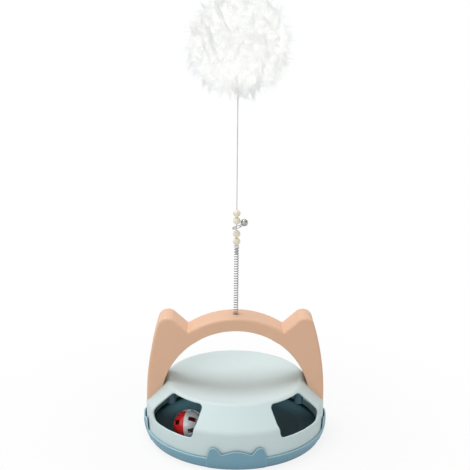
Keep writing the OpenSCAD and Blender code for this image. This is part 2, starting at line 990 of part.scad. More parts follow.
module ball_bell() {
    color([0.75, 0.75, 0.76]) in_ball_bell() difference() {
        union() {
            sphere(r = ball_bell_r);
            cylinder(r = ball_bell_r + bell_rim, h = bell_rim_h, center = true);
        }
        sphere(r = ball_bell_r - ball_bell_wall);
        for (a = [0, 90]) rotate(a) translate([-ball_d, -ball_bell_slot_w / 2, -ball_d - bell_slot_from])
            cube([2 * ball_d, ball_bell_slot_w, ball_d]);
    }
}

module ball_pellet() {
    color([0.6, 0.6, 0.6]) in_ball_bell()
        translate([0, 0, ball_bell_wall + ball_pellet_r + pellet_gap - ball_bell_r])
            sphere(r = ball_pellet_r);
}

echo(spring_gap = least_gap(spring_line, spring_wire_d, 5));
echo(ring_gap = least_gap(ring_line, 2 * ring_wire_r, 8));

base_tray();
track_cover();
rubber_feet();
cover_screws();
arch_shell();
arch_rear_cover();
rear_cover_screws();
arch_retainer_left();
arch_retainer_right();
retainer_screws();
spring_socket();
spring_screw();
coil_spring();
spring_cap();
wand_wire();
bead_1();
bead_2();
bead_3();
bead_4();
bell_ring();
bell_upper();
bell_lower();
bell_pellet();
feather_binding();
feather_puff();
ball_red_half();
ball_white_half();
ball_bell();
ball_pellet();
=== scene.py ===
import math

import bmesh
import bpy
import numpy as np
from mathutils import Matrix, Vector, noise
from mathutils.geometry import delaunay_2d_cdt
from mathutils.kdtree import KDTree


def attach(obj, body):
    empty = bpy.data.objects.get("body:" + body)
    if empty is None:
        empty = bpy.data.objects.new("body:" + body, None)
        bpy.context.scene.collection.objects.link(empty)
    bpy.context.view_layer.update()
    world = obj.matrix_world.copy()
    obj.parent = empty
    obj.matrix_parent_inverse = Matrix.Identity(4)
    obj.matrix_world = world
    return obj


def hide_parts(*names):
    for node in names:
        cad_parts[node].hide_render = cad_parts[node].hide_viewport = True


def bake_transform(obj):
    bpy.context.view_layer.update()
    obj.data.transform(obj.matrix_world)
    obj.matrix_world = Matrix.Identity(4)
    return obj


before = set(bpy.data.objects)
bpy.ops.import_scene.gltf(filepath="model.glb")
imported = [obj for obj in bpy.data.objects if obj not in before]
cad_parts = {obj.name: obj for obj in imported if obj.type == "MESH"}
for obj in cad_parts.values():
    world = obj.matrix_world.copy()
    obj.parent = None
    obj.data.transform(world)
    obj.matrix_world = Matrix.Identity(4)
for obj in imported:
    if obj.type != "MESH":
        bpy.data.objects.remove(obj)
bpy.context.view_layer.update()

MM = 0.001
FULL = 2 * math.pi

# Sizes in millimetres and angles in degrees. Most are the part's own, and the puff's are the scene's.
FOOT_H, FLOOR_Z, RIM_R, RIM_Z, BOTTOM_R, WALL = 1.5, 4.0, 121.0, 17.4, 115.0, 2.6
HUB_R, HUB_Z, TRACK_R, UNDER_R = 48.5, 46.0, 71.8, 60
TAB_HALF_W, TAB_TIP_Z, TAB_PROUD = 37.5, 31.8, 0.8
COVER_R, COVER_Z, CREASE_R, CREASE_Z, DISH_DEPTH = 118.0, 17.5, 90.0, 79.0, 14.0
SILL_Z, WINDOW_ANGLE, WINDOW_Y = 38.0, 26.5, 46.5
ARCH_HALF_DEPTH, ARCH_IN_R, ARCH_OUT_R, ARCH_Z = 20.0, 97.2, 114.5, 50.8
ARCH_SEAM_Y, EDGE_R, LID_EDGE_R, INNER_EDGE_R = 16.0, 3.5, 2.8, 1.4
ARCH_FOOT_X, ARCH_FOOT_Z, ARCH_SIDE_R, ARCH_SIDE_Z = 116.5, 44, 348, 56
EAR_APEX_Z, EAR_TIP_R, VALLEY_ANGLE, VALLEY_R = 176.2, 13, 57, 2.5
CROWN_Z = ARCH_Z + ARCH_OUT_R
SOCKET_R, SOCKET_FLOOR_Z = 5.5, 155.2
SPRING_MEAN_R, SPRING_WIRE_R, SPRING_CURLS, SPRING_TOP_Z = 2.65, 0.6, 30, 255.6
SWAY_SIDE_Z, SWAY_FORE_Z, BEND_HALF = 186.0, 230.0, 18
WAND_R, BEAD_R = 0.55, 4.9
BEAD_Z = {"bead_1": 300.7, "bead_2": 290.8, "bead_3": 273.5, "bead_4": 263.6}
RING_Z, RING_R, RING_WIRE_R, RING_TILT, RING_PITCH = 282.15, 5.4, 0.5, 18.0, 1.5
BELL_R, BELL_WALL, BELL_LIFT, BELL_REACH = 4.8, 0.5, 45.0, 6.6
PUFF_REACH, PUFF_PLACE, CORE_R = 76.0, (1.5, 0.0, 512.0), 50
BINDING_LOW_Z, BINDING_TOP_Z, BINDING_R = 450.0, 519.0, 2.4
BALL_R, BALL_WALL, BALL_ANGLE = 20.5, 1.7, 212.8
BALL_Z = FLOOR_Z + 0.25 + BALL_R
BALL_SLOTS, SLOT_TURN, SLOT_LOW, SLOT_HIGH, SLOT_HALF_W, SLOT_CORNER_R = 7, 17.7, 17, 50, 3.1, 0.9
LID_SCREWS = [(86, 147), (97, 105)]
RETAINERS = [(84 * i, 16 * j) for i in (1, -1) for j in (1, -1)]
COVER_SCREW_R, COVER_SCREW_Z, RETAINER_SCREW_Z = 30.0, 6.0, 53.0
SCREW_HEAD_R, SCREW_HEAD_H, POCKET_R, POCKET_CHAMFER = 3.1, 2.4, 3.5, 0.35


# Outlines and meshes

def unit(v):
    v = np.asarray(v, float)
    return v / np.linalg.norm(v)


def units(rows):
    """Each row of an array at length 1."""
    return rows / np.linalg.norm(rows, axis=1)[:, None]


def run_of(line):
    """Distance along a line at each of its points."""
    return np.concatenate([[0], np.cumsum(np.linalg.norm(np.diff(line, axis=0), axis=1))])


def rounded(path, steps):
    """Points of a closed outline whose corners are (x, y, radius)."""
    out = []
    for i, (x, y, r) in enumerate(path):
        p = np.array((x, y), float)
        u = unit(np.array(path[i - 1][:2]) - p)
        v = unit(np.array(path[(i + 1) % len(path)][:2]) - p)
        half = math.acos(max(-1, min(1, float(u @ v)))) / 2
        turn = math.pi - 2 * half
        if r <= 0 or turn < 0.02:
            out.append(p)
            continue
        centre = p + unit(u + v) * r / math.sin(half)
        a = unit(p + u * r / math.tan(half) - centre)
        b = unit(p + v * r / math.tan(half) - centre)
        for k in range(steps + 1):
            t = turn * k / steps
            out.append(centre + r * (a * math.sin(turn - t) + b * math.sin(t)) / math.sin(turn))
    return np.array(out)


def resample(loop, step):
    """A closed loop with points at even distances."""
    closed = np.vstack([loop, loop[:1]])
    run = run_of(closed)
    at = np.linspace(0, run[-1], max(8, int(round(run[-1] / step))) + 1)[:-1]
    return np.stack([np.interp(at, run, closed[:, k]) for k in range(closed.shape[1])], axis=1)


def turned(r, a):
    """Points at a radius and an angle."""
    return np.column_stack([r * np.cos(a), r * np.sin(a)])


def circle(x, y, r, count):
    return np.array((x, y)) + turned(r, np.arange(count) * FULL / count)


def quarter(count):
    """Angles of a quarter turn in even steps."""
    return [math.pi / 2 * k / count for k in range(count + 1)]


def rotation(degrees, axis):
    return Matrix.Rotation(math.radians(degrees), 4, axis)


def lying(p, z):
    """Points (x, y) at a height."""
    return np.column_stack([p, np.full(len(p), z)])


def standing(p, y):
    """Points (x, z) of an upright plane at a depth."""
    return np.column_stack([p[:, 0], np.full(len(p), y), p[:, 1]])


def anticlockwise(loop):
    x, y = loop[:, 0], loop[:, 1]
    area = np.sum(x * np.roll(y, -1) - np.roll(x, -1) * y)
    return loop if area > 0 else loop[::-1]


def offset(loop, by):
    """An anticlockwise loop pushed to its left, which is inward, by a distance."""
    ahead = units(np.roll(loop, -1, axis=0) - loop)
    mean = units(ahead + np.roll(ahead, 1, axis=0))
    return loop + by * np.stack([-mean[:, 1], mean[:, 0]], axis=1)


def inside(points, loops):
    """Which points lie inside the first loop and outside the others."""
    hit = np.zeros(len(points), bool)
    px, py = points[:, 0], points[:, 1]
    for loop in loops:
        for (x1, y1), (x2, y2) in zip(loop, np.roll(loop, -1, axis=0)):
            if y1 != y2:
                hit ^= ((y1 > py) != (y2 > py)) & (px < (x2 - x1) * (py - y1) / (y2 - y1) + x1)
    return hit


def patch(loops, grid=(), clear=1.0):
    """Flat triangles between loops, through those grid points that stand clear of them."""
    rim = np.vstack(loops)
    points = rim
    if len(grid):
        tree = KDTree(len(rim))
        for i, p in enumerate(rim):
            tree.insert((p[0], p[1], 0), i)
        tree.balance()
        grid = np.asarray(grid, float)
        grid = grid[inside(grid, loops)]
        points = np.vstack([rim] + [p for p in grid if tree.find((p[0], p[1], 0))[2] > clear])
    edges, base = [], 0
    for loop in loops:
        edges += [(base + i, base + (i + 1) % len(loop)) for i in range(len(loop))]
        base += len(loop)
    made = delaunay_2d_cdt([Vector(p) for p in points], edges, [], 0, 1e-6)
    coords = np.array([(v.x, v.y) for v in made[0]])
    tris = np.array([f for f in made[2] if len(f) == 3])
    keep = inside(coords[tris].mean(axis=1), loops)
    return coords, tris[keep]


class Build:
    """Points, in millimetres, and faces of one piece."""

    def __init__(self):
        self.points, self.faces = [], []

    def add(self, points, faces):
        base = len(self.points)
        self.points += [tuple(p) for p in np.asarray(points, float)]
        self.faces += [tuple(int(i) + base for i in f) for f in faces]
        return self

    def rings(self, rings, caps=False):
        """Quads between rings that have the same number of points."""
        n = len(rings[0])
        faces = [
            (a * n + k, a * n + (k + 1) % n, (a + 1) * n + (k + 1) % n, (a + 1) * n + k)
            for a in range(len(rings) - 1)
            for k in range(n)
        ]
        if caps:
            faces += [tuple(range(n))[::-1], tuple(range((len(rings) - 1) * n, len(rings) * n))]
        return self.add(np.vstack(rings), faces)

    def revolve(self, profile, count):
        """A profile of (r, z) turned about Z."""
        return self.rings([lying(circle(0, 0, r, count), z) for r, z in profile])

    def shell(self, loops, at, thick, fillet, grid, clear, steps):
        """A skin of even thickness over a flat region, with rounded edges on every loop."""
        loops = [anticlockwise(np.asarray(loop, float)) for loop in loops]
        ways = [1] + [-1] * (len(loops) - 1)
        flat, tris = patch([offset(l, fillet * w) for l, w in zip(loops, ways)], grid, clear)
        self.add(at(flat, 0), tris)
        self.add(at(flat, thick), tris[:, ::-1])
        depths = [(1 - math.sin(a), fillet * (1 - math.cos(a))) for a in quarter(steps)]
        depths += [(s, thick - d) for s, d in depths[::-1]]
        for loop, way in zip(loops, ways):
            self.rings([at(offset(loop, fillet * s * way), d) for s, d in depths])
        return self

    def tube(self, line, radius, sides, sidewards, closed=False):
        """A round tube along a line. sidewards gives, for each point, a direction across it."""
        line = np.asarray(line, float)
        run = np.gradient(line, axis=0)
        if closed:
            run = np.roll(line, -1, axis=0) - np.roll(line, 1, axis=0)
        run = units(run)
        side = np.asarray(sidewards, float)
        side = units(side - run * np.sum(side * run, axis=1)[:, None])
        up = np.cross(run, side)
        radius = np.broadcast_to(radius, len(line))
        a = np.arange(sides) * FULL / sides
        rings = [
            p + r * (np.cos(a)[:, None] * s + np.sin(a)[:, None] * u)
            for p, r, s, u in zip(line, radius, side, up)
        ]
        if closed:
            return self.rings(rings + rings[:1])
        return self.rings(rings, caps=True)

    def moved(self, matrix):
        m = np.array(matrix)
        self.points = [tuple(p) for p in np.array(self.points) @ m[:3, :3].T + m[:3, 3]]
        return self


def add_object(name, data):
    obj = bpy.data.objects.new(name, data)
    bpy.context.scene.collection.objects.link(obj)
    return obj


def make(name, build, material, body, replaces=(), sharp=40, weld=0.002, even=False):
    """A piece from a build, riding on its body."""
    mesh = bpy.data.meshes.new(name)
    mesh.from_pydata([Vector(p) * MM for p in build.points], [], build.faces)
    if weld:
        bm = bmesh.new()
        bm.from_mesh(mesh)
        bmesh.ops.remove_doubles(bm, verts=bm.verts, dist=weld * MM)
        bmesh.ops.recalc_face_normals(bm, faces=bm.faces)
        bm.to_mesh(mesh)
        bm.free()
    mesh.polygons.foreach_set("use_smooth", [True] * len(mesh.polygons))
    mesh.set_sharp_from_angle(angle=math.radians(sharp))
    mesh.materials.append(material)
    obj = add_object(name, mesh)
    if even:
        modifier = obj.modifiers.new("even_normals", "WEIGHTED_NORMAL")
        modifier.keep_sharp = True
    if replaces:
        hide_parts(*replaces)
    if body:
        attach(obj, body)
    return obj


# Materials

def srgb(r, g, b):
    def linear(v):
        v /= 255
        return v / 12.92 if v <= 0.04045 else ((v + 0.055) / 1.055) ** 2.4

    return (linear(r), linear(g), linear(b), 1)


def grey(value):
    return (value, value, value, 1)


def shade(colour, by):
    return tuple(max(0, min(1, c * by)) for c in colour[:3]) + (1,)


class Material:
    """A Principled material with noise in its colour, roughness and surface."""

    def __init__(self, name, rough, metal=0.0, **sockets):
        self.made = bpy.data.materials.new(name)
        self.made.use_nodes = True
        self.tree = self.made.node_tree
        self.bsdf = self.tree.nodes["Principled BSDF"]
        for socket, value in dict(sockets, Roughness=rough, Metallic=metal).items():
            self.bsdf.inputs[socket.replace("_", " ")].default_value = value
        self.place = self.node("ShaderNodeTexCoord").outputs["Object"]

    def node(self, kind, **inputs):
        made = self.tree.nodes.new(kind)
        for name, value in inputs.items():
            self.set(made.inputs[name.replace("_", " ")], value)
        return made

    def set(self, socket, value):
        if isinstance(value, bpy.types.NodeSocket):
            self.tree.links.new(value, socket)
        else:
            socket.default_value = value

    def noise(self, scale, detail, rough=0.5, vector=None):
        return self.node(
            "ShaderNodeTexNoise", Vector=vector or self.place, Scale=scale, Detail=detail, Roughness=rough
        ).outputs["Fac"]

    def stretched(self, x, y, z):
        """The object's own coordinates, scaled by axis."""
        return self.node("ShaderNodeMapping", Vector=self.place, Scale=(x, y, z)).outputs["Vector"]

    def ramp(self, fac, stops):
        node = self.node("ShaderNodeValToRGB", Fac=fac)
        ramp = node.color_ramp
        while len(ramp.elements) < len(stops):
            ramp.elements.new(0.5)
        for element, (place, colour) in zip(ramp.elements, stops):
            element.position, element.color = place, colour
        return node.outputs["Color"]

    def mix(self, fac, a, b):
        node = self.tree.nodes.new("ShaderNodeMix")
        node.data_type = "RGBA"
        for i, value in ((0, fac), (6, a), (7, b)):
            self.set(node.inputs[i], value)
        return node.outputs[2]

    def spread(self, fac, low, high, start=0, end=1):
        """A value that goes from low to high while fac goes from start to end."""
        return self.node(
            "ShaderNodeMapRange", Value=fac, From_Min=start, From_Max=end, To_Min=low, To_Max=high
        ).outputs["Result"]

    def mixed(self, fac, other):
        """The surface with another shader mixed in."""
        both = self.node("ShaderNodeMixShader", Fac=fac)
        self.set(both.inputs[1], self.bsdf.outputs["BSDF"])
        self.set(both.inputs[2], other.outputs[0])
        self.set(self.tree.nodes["Material Output"].inputs["Surface"], both.outputs["Shader"])
        return self

    def colour(self, value):
        self.set(self.bsdf.inputs["Base Color"], value)
        return self

    def roughness(self, value):
        self.set(self.bsdf.inputs["Roughness"], value)
        return self

    def bump(self, height, distance, strength):
        node = self.node("ShaderNodeBump", Height=height, Distance=distance, Strength=strength)
        self.set(self.bsdf.inputs["Normal"], node.outputs["Normal"])
        return self


def moulded(name, colour, rough=0.48, shade_depth=0.6, reach=0.7):
    """Satin moulded plastic with fine grain, faint flow marks and specks, a painted highlight on sharp
    edges and painted shade in covered corners.

    The last two arguments are how far the painted shade darkens covered places and how open a place has
    to be to get none of it.
    """
    vary, dirt, grain, grain_depth = 0.035, 0.05, 2600, 0.00002
    m = Material(name, rough, Specular_IOR_Level=0.45)
    flow = m.ramp(
        m.noise(9, 4), [(0.3, shade(colour, 1 - vary)), (0.7, shade(colour, 1 + vary * 0.6))]
    )
    # Painted highlight: sharp outward edges, found by pointiness, are made paler
    painted_highlight_edges = m.spread(m.node("ShaderNodeNewGeometry").outputs["Pointiness"], 0, 1)
    edge = m.ramp(painted_highlight_edges, [(0.49, grey(0)), (0.56, grey(1))])
    specks = m.ramp(m.noise(1500, 1), [(0.62, grey(0)), (0.78, grey(dirt))])
    flow = m.mix(specks, flow, shade(colour, 0.82))
    flow = m.mix(m.spread(edge, 0, 0.16), flow, shade(colour, 1.25))
    # Painted shade: the colour darkens where ambient occlusion finds the place covered
    open_sky = m.node("ShaderNodeAmbientOcclusion", Distance=0.07)
    open_sky.samples = 8
    painted_shade = m.ramp(open_sky.outputs["AO"], [(0.05, grey(shade_depth)), (reach, grey(0))])
    m.colour(m.mix(painted_shade, flow, shade(colour, 0.25)))
    m.roughness(m.spread(m.noise(140, 4), rough - 0.07, rough + 0.08))
    return m.bump(m.noise(grain, 2), grain_depth, 0.5).made


def metal(name, colour, rough, streak=(1, 1, 1), tarnish=0.25):
    """Drawn or pressed metal, with tarnish and fine marks stretched by axis."""
    mark_depth = 0.000008
    m = Material(name, rough, 1.0)
    where = m.stretched(*streak)
    m.colour(
        m.ramp(
            m.noise(700, 4, vector=where),
            [(0.3, shade(colour, 1 - tarnish)), (0.68, shade(colour, 1.12))],
        )
    )
    m.roughness(m.spread(m.noise(900, 3, vector=where), rough * 0.7, rough * 1.5))
    return m.bump(m.noise(2400, 2, vector=where), mark_depth, 0.6).made


def glossy(name, colour, rough=0.2):
    """Polished plastic with a thin clear coat and faint swirls."""
    vary = 0.05
    m = Material(name, rough, Coat_Weight=0.4, Coat_Roughness=0.08)
    m.colour(
        m.ramp(m.noise(45, 4), [(0.3, shade(colour, 1 - vary)), (0.7, shade(colour, 1 + vary))])
    )
    m.roughness(m.spread(m.noise(300, 5), rough * 0.75, rough * 1.5))
    return m.bump(m.noise(420, 3), 0.00002, 0.35).made


def rubber(name):
    m = Material(name, 0.85)
    m.colour(m.ramp(m.noise(600, 4), [(0.3, srgb(34, 36, 38)), (0.72, srgb(58, 60, 62))]))
    return m.bump(m.noise(1800, 3), 0.00006, 0.7).made


def painted_bead(name):
    """Cream lacquer over turned wood: the grain shows faintly through a glossy coat."""
    m = Material(name, 0.28, Coat_Weight=0.5, Coat_Roughness=0.1)
    grain = m.noise(420, 5, 0.6, m.stretched(1, 1, 0.18))
    m.colour(
        m.ramp(
            grain,
            [(0.25, srgb(239, 227, 199)), (0.5, srgb(248, 241, 220)), (0.8, srgb(252, 248, 234))],
        )
    )
    m.roughness(m.spread(m.noise(800, 3), 0.2, 0.4))
    return m.bump(grain, 0.00004, 0.4).made


def plume(name):
    """White down that lets light through: near white at the core, with painted shade that makes it cooler
    and darker towards the tips.
    """
    plain_reach = 0.64 * PUFF_REACH
    m = Material(name, 0.8, Sheen_Weight=0.3, Sheen_Roughness=0.5, Specular_IOR_Level=0.2)
    apart = m.node("ShaderNodeVectorMath", Vector=m.place)
    apart.operation = "DISTANCE"
    apart.inputs[1].default_value = Vector(PUFF_PLACE) * MM
    far = m.spread(apart.outputs["Value"], 0, 1, plain_reach * MM, PUFF_REACH * MM)
    # Painted shade: the tone darkens towards the tips
    tone = m.ramp(
        far,
        [(0.0, srgb(246, 246, 245)), (0.25, srgb(245, 245, 244)), (1.0, srgb(228, 231, 234))],
    )
    tone = m.mix(m.spread(m.noise(900, 3), 0, 0.1), tone, srgb(214, 217, 220))
    m.colour(tone).bump(m.noise(5200, 2), 0.00001, 0.3)
    return m.mixed(0.5, m.node("ShaderNodeBsdfTranslucent", Color=tone)).made


def thread(name):
    """Wound white thread: fine turns round the quills."""
    m = Material(name, 0.8, Sheen_Weight=0.4)
    wave = m.node("ShaderNodeTexWave", Vector=m.place, Scale=900.0, Distortion=1.2, Detail=2.0)
    wave.bands_direction = "Z"
    m.colour(m.ramp(wave.outputs["Fac"], [(0.1, srgb(205, 202, 192)), (0.8, srgb(246, 245, 240))]))
    return m.bump(wave.outputs["Fac"], 0.00012, 0.8).made


BLUE = moulded("blue_plastic", srgb(122, 166, 184), shade_depth=0.5, reach=0.4)
# Painted highlight: a paler copy of the blue for the tray's lip and the tabs' rounded edges
BLUE_HIGHLIGHT = moulded("blue_painted_highlight", srgb(166, 204, 216), 0.4, shade_depth=0.4, reach=0.3)
# Painted shade: a darker copy of the blue for the inside of the tray, which lies in shade
SHADED_BLUE = moulded("blue_painted_shade", srgb(60, 106, 117), 0.62)
MINT = moulded("mint_plastic", srgb(213, 230, 231), 0.46)
TAN = moulded("tan_plastic", srgb(235, 190, 158), 0.46)
WHITE = glossy("white_plastic", srgb(240, 240, 240))
BALL_RED = glossy("ball_red", srgb(240, 44, 42), 0.22)
BALL_WHITE = glossy("ball_white", srgb(244, 245, 247), 0.22)
STEEL = metal("screw_steel", srgb(176, 178, 182), 0.34)
SPRING = metal("spring_steel", srgb(162, 162, 164), 0.26, (1, 1, 0.4))
WIRE = metal("wire_steel", srgb(186, 188, 192), 0.36, (1, 1, 0.1))
BELL = metal("bell_metal", srgb(184, 181, 176), 0.12, tarnish=0.34)
BEAD = painted_bead("cream_bead")
RUBBER = rubber("rubber")
FEATHER = plume("feather")
THREAD = thread("binding_thread")


# Tray

gutter_curve, gutter_half_w = 60.0, 16.0
bench_z = FLOOR_Z + gutter_curve - math.sqrt(gutter_curve**2 - gutter_half_w**2)


def tray_profile():
    ledge = COVER_R - WALL / 2
    widest = math.asin(gutter_half_w / gutter_curve)
    gutter = [
        (TRACK_R + gutter_curve * math.sin(a), FLOOR_Z + gutter_curve * (1 - math.cos(a)), 0)
        for a in np.linspace(widest, -widest, 33)
    ]
    path = [
        (UNDER_R, FOOT_H, 0),
        (BOTTOM_R, FOOT_H, 3),
        (RIM_R, RIM_Z - 0.8, 1.2),
        (RIM_R - 0.5, RIM_Z, 0.5),
        (ledge, RIM_Z, 0.3),
        (ledge, RIM_Z - 1.4, 0.3),
        (BOTTOM_R - 0.5, bench_z, 3),
        *gutter,
        (HUB_R, bench_z, 2),
        (HUB_R, HUB_Z, 1.2),
        (HUB_R - WALL, HUB_Z, 1.2),
        (HUB_R - WALL, FLOOR_Z, 0.5),
        (0, FLOOR_Z, 0),
    ]
    return rounded(path + [(0, FOOT_H, 0)], 8)[:-1]


def screw_places():
    return turned(COVER_SCREW_R, np.radians([45, 135, 225, 315]))


def pocket_rim(place):
    return circle(*place, POCKET_R + POCKET_CHAMFER, 36)


def sunk_hole(build, place, low, high, lay):
    """A screw's pocket with a chamfer. lay is lying or standing."""
    rings = [pocket_rim(place), *[circle(*place, POCKET_R, 36)] * 2]
    levels = (low, low + math.copysign(POCKET_CHAMFER, high - low), high)
    build.rings([lay(p, level) for p, level in zip(rings, levels)])
    floor, tris = patch([rings[2]])
    build.add(lay(floor, high), tris)


tray = Build().revolve(tray_profile(), 200)
under, tris = patch(
    [circle(0, 0, UNDER_R, 200)] + [pocket_rim(place) for place in screw_places()],
    [(x, y) for x in range(-56, 57, 8) for y in range(-56, 57, 8)],
    3,
)
tray.add(lying(under, FOOT_H), tris)
for place in screw_places():
    sunk_hole(tray, place, FOOT_H, COVER_SCREW_Z, lying)
tray_mesh = make("tray", tray, BLUE, "base", ["base_tray"], 35).data
tray_mesh.materials.append(SHADED_BLUE)
tray_mesh.materials.append(BLUE_HIGHLIGHT)

# Painted shade: a darker copy of the blue inside the flared wall. Painted highlight: a paler copy on the
# lip
inside_low_z, inside_r, inside_r_z, inside_lean, lip_highlight_h = 3.2, 115.6, 6, 0.31, 0.6
for face in tray_mesh.polygons:
    x, y, z = face.center / MM
    within = math.hypot(x, y) < inside_r + inside_lean * (z - inside_r_z)
    face.material_index = int(z > inside_low_z and within)
    if z > RIM_Z - lip_highlight_h:
        face.material_index = 2


def tab_loop():
    half = [
        (TAB_HALF_W, FOOT_H + 0.6, 2),
        (TAB_HALF_W, RIM_Z, 8),
        (TAB_HALF_W - 5.9, TAB_TIP_Z + 7.2, 6.3),
        (TAB_HALF_W * 0.495, TAB_TIP_Z - 8, 1.8),
    ]
    return rounded(half + [(0, TAB_TIP_Z - 1, 30)] + [(-x, z, r) for x, z, r in half[::-1]], 10)


tab_top_z, tab_thick, tab_fillet, tab_highlight_turn = 60, 2.2, 0.9, 0.88
tab_line = rounded([
    (BOTTOM_R + TAB_PROUD, FOOT_H, 0),
    (RIM_R + TAB_PROUD, RIM_Z - 1, 30),
    (RIM_R + TAB_PROUD, tab_top_z, 0),
    (0, tab_top_z, 0),
], 10)[:-1]


def on_tab(p, depth):
    """Points of a tab, which stands on the tray's wall and is full thick only above the rim."""
    depth = depth * np.interp(p[:, 1], [RIM_Z - 3, RIM_Z], [0.55, 1])
    r = np.interp(p[:, 1], tab_line[:, 1], tab_line[:, 0]) - depth
    return np.column_stack([p[:, 0], -np.sqrt(r * r - p[:, 0] ** 2), p[:, 1]])


for k, side in enumerate(("front", "right", "rear", "left")):
    tab = Build().shell(
        [resample(tab_loop(), 0.8)], on_tab, tab_thick, tab_fillet,
        [(x, z) for x in np.arange(-36, 36.1, 2) for z in np.arange(2, 34, 1.5)], 0.9, 5,
    )
    tab.moved(rotation(90 * k, "Z"))
    tab_mesh = make("tray_tab_" + side, tab, BLUE, "base").data
    tab_mesh.materials.append(BLUE_HIGHLIGHT)
    # Painted highlight: faces that turn away from the tab's face, its rounded edges and sides, get the
    # paler blue
    for face in tab_mesh.polygons:
        outwards = (face.center * Vector((1, 1, 0))).normalized()
        face.material_index = int(abs(face.normal.dot(outwards)) < tab_highlight_turn)


# Cover

dish_curve = (CREASE_R**2 + DISH_DEPTH**2) / (2 * DISH_DEPTH)
shoulder_sum = CREASE_R + CREASE_Z


def dish_at(r):
    return CREASE_Z - DISH_DEPTH + dish_curve - math.sqrt(dish_curve**2 - r * r)


cover_line = rounded(
    [(r, dish_at(r), 0) for r in np.arange(0, 84.1, 3)]
    + [
        (CREASE_R, CREASE_Z, 6),
        (COVER_R, shoulder_sum - COVER_R, 10),
        (COVER_R, COVER_Z, 0),
        (0, COVER_Z, 0),
    ],
    12,
)[:-1]
cover_run = run_of(cover_line)
along = np.gradient(cover_line, axis=0)
cover_out = units(np.stack([-along[:, 1], along[:, 0]], axis=1))
cover_out[0] = (0, 1)


def cover_top(r):
    """Height of the cover's outside at a radius."""
    last = int(np.argmax(cover_line[:, 0] >= COVER_R - 1e-6))
    return np.interp(r, cover_line[: last + 1, 0], cover_line[: last + 1, 1])


def on_cover(p, depth):
    """Points of the cover from its unrolled disc, at a depth below the outside."""
    s = np.linalg.norm(p, axis=1)
    turn = np.arctan2(p[:, 1], p[:, 0])
    out = [np.interp(s, cover_run, cover_out[:, k]) for k in (0, 1)]
    size = np.hypot(*out)
    r = np.interp(s, cover_run, cover_line[:, 0]) - depth * out[0] / size
    z = np.interp(s, cover_run, cover_line[:, 1]) - depth * out[1] / size
    return np.column_stack([turned(r, turn), z])


def window_loop():
    """The front left window on the unrolled disc: a leaning outline thrown onto the cover."""
    top_r, corner, lean, turn = CREASE_R + 3.6, 7.0, math.radians(40), math.radians(225)
    bend_r = COVER_R - 5
    top_bow, sill_bow, bend_bow = 40, 60, 20

    def spot(r, z, a):
        return np.array((-r * math.sin(a), -r * math.cos(a), z))

    inner = math.radians(WINDOW_ANGLE)
    sill = inner + math.radians(1)
    far, far_low, far_bend = (math.acos(WINDOW_Y / r) for r in (top_r, COVER_R, bend_r))
    top_z, bend_z = shoulder_sum - top_r, shoulder_sum - bend_r
    corners = [(spot(top_r, top_z, inner), corner)]
    corners += [(spot(top_r, top_z, inner + (far - inner) * k / 4), top_bow) for k in (1, 2, 3)]
    corners += [
        (spot(top_r, top_z, far), corner),
        (spot(bend_r, bend_z, far_bend), bend_bow),
        (spot(COVER_R, SILL_Z, far_low), corner * 1.4),
    ]
    corners += [
        (spot(COVER_R, SILL_Z, sill + (far_low - inner) * k / 4), sill_bow) for k in (3, 2, 1)
    ]
    corners += [(spot(COVER_R, SILL_Z, sill), corner * 1.2), (spot(bend_r, bend_z, inner), bend_bow)]
    down = np.array((math.sin(lean) * math.cos(turn), math.sin(lean) * math.sin(turn), -math.cos(lean)))
    across = np.array((-math.sin(turn), math.cos(turn), 0))
    axis = np.cross(down, across)
    flat = resample(rounded([(c @ down, c @ across, r) for c, r in corners], 10), 1.4)
    body = np.vstack([cover_line, [(0, COVER_Z)]])
    low, high = np.full(len(flat), 60.0), np.full(len(flat), 200.0)
    base = flat[:, :1] * down + flat[:, 1:] * across
    # Halves the reach along the axis until each point lies on the cover's outside
    for _ in range(44):
        mid = (low + high) / 2
        p = base + mid[:, None] * axis
        solid = inside(np.column_stack([np.hypot(p[:, 0], p[:, 1]), p[:, 2]]), [body])
        low, high = np.where(solid, mid, low), np.where(solid, high, mid)
    p = base + low[:, None] * axis
    r = np.hypot(p[:, 0], p[:, 1])
    near = np.argmin(np.hypot(r[:, None] - fine_line[:, 0], p[:, 2:] - fine_line[:, 1]), axis=1)
    return resample(fine_run[near][:, None] * p[:, :2] / r[:, None], 1.5)


fine_run = np.linspace(0, cover_run[-1], 20000)
fine_line = np.column_stack([np.interp(fine_run, cover_run, cover_line[:, k]) for k in (0, 1)])
window = window_loop()
windows = [window * np.array(s) for s in ((1, 1), (-1, 1), (1, -1), (-1, -1))]
levels = np.unique(np.concatenate([
    cover_run[1:-1],
    np.arange(cover_run[np.argmax(cover_line[:, 0] > 91)], cover_run[-1] - 1, 2.6),
]))
levels = levels[np.concatenate([[True], np.diff(levels) > 0.25])]
disc = np.vstack([[(0, 0)]] + [circle(0, 0, s, max(12, int(200 * min(1, s / 60)))) for s in levels])
cover = Build().shell([circle(0, 0, cover_run[-1], 240)] + windows, on_cover, WALL, 0.8, disc, 1.1, 5)
skirt_in, skirt_out = COVER_R - 7, COVER_R - 4.6
skirt = rounded([
    (skirt_in, RIM_Z - 6, 0.4), (skirt_out, RIM_Z - 6, 0.4), (skirt_out, COVER_Z + 0.2, 0),
    (COVER_R - 1.2, COVER_Z + 0.2, 0), (COVER_R - 1.2, COVER_Z + 3, 0.2), (skirt_in, COVER_Z + 3, 0.8),
], 4)
cover.revolve(np.vstack([skirt, skirt[:1]]), 200)
retainer_post, screw_post, post_chamfer = (4.6, 69.7), (5.0, 12.1), 0.5
posts = [(place, *retainer_post) for place in RETAINERS]
posts += [(place, *screw_post) for place in screw_places()]
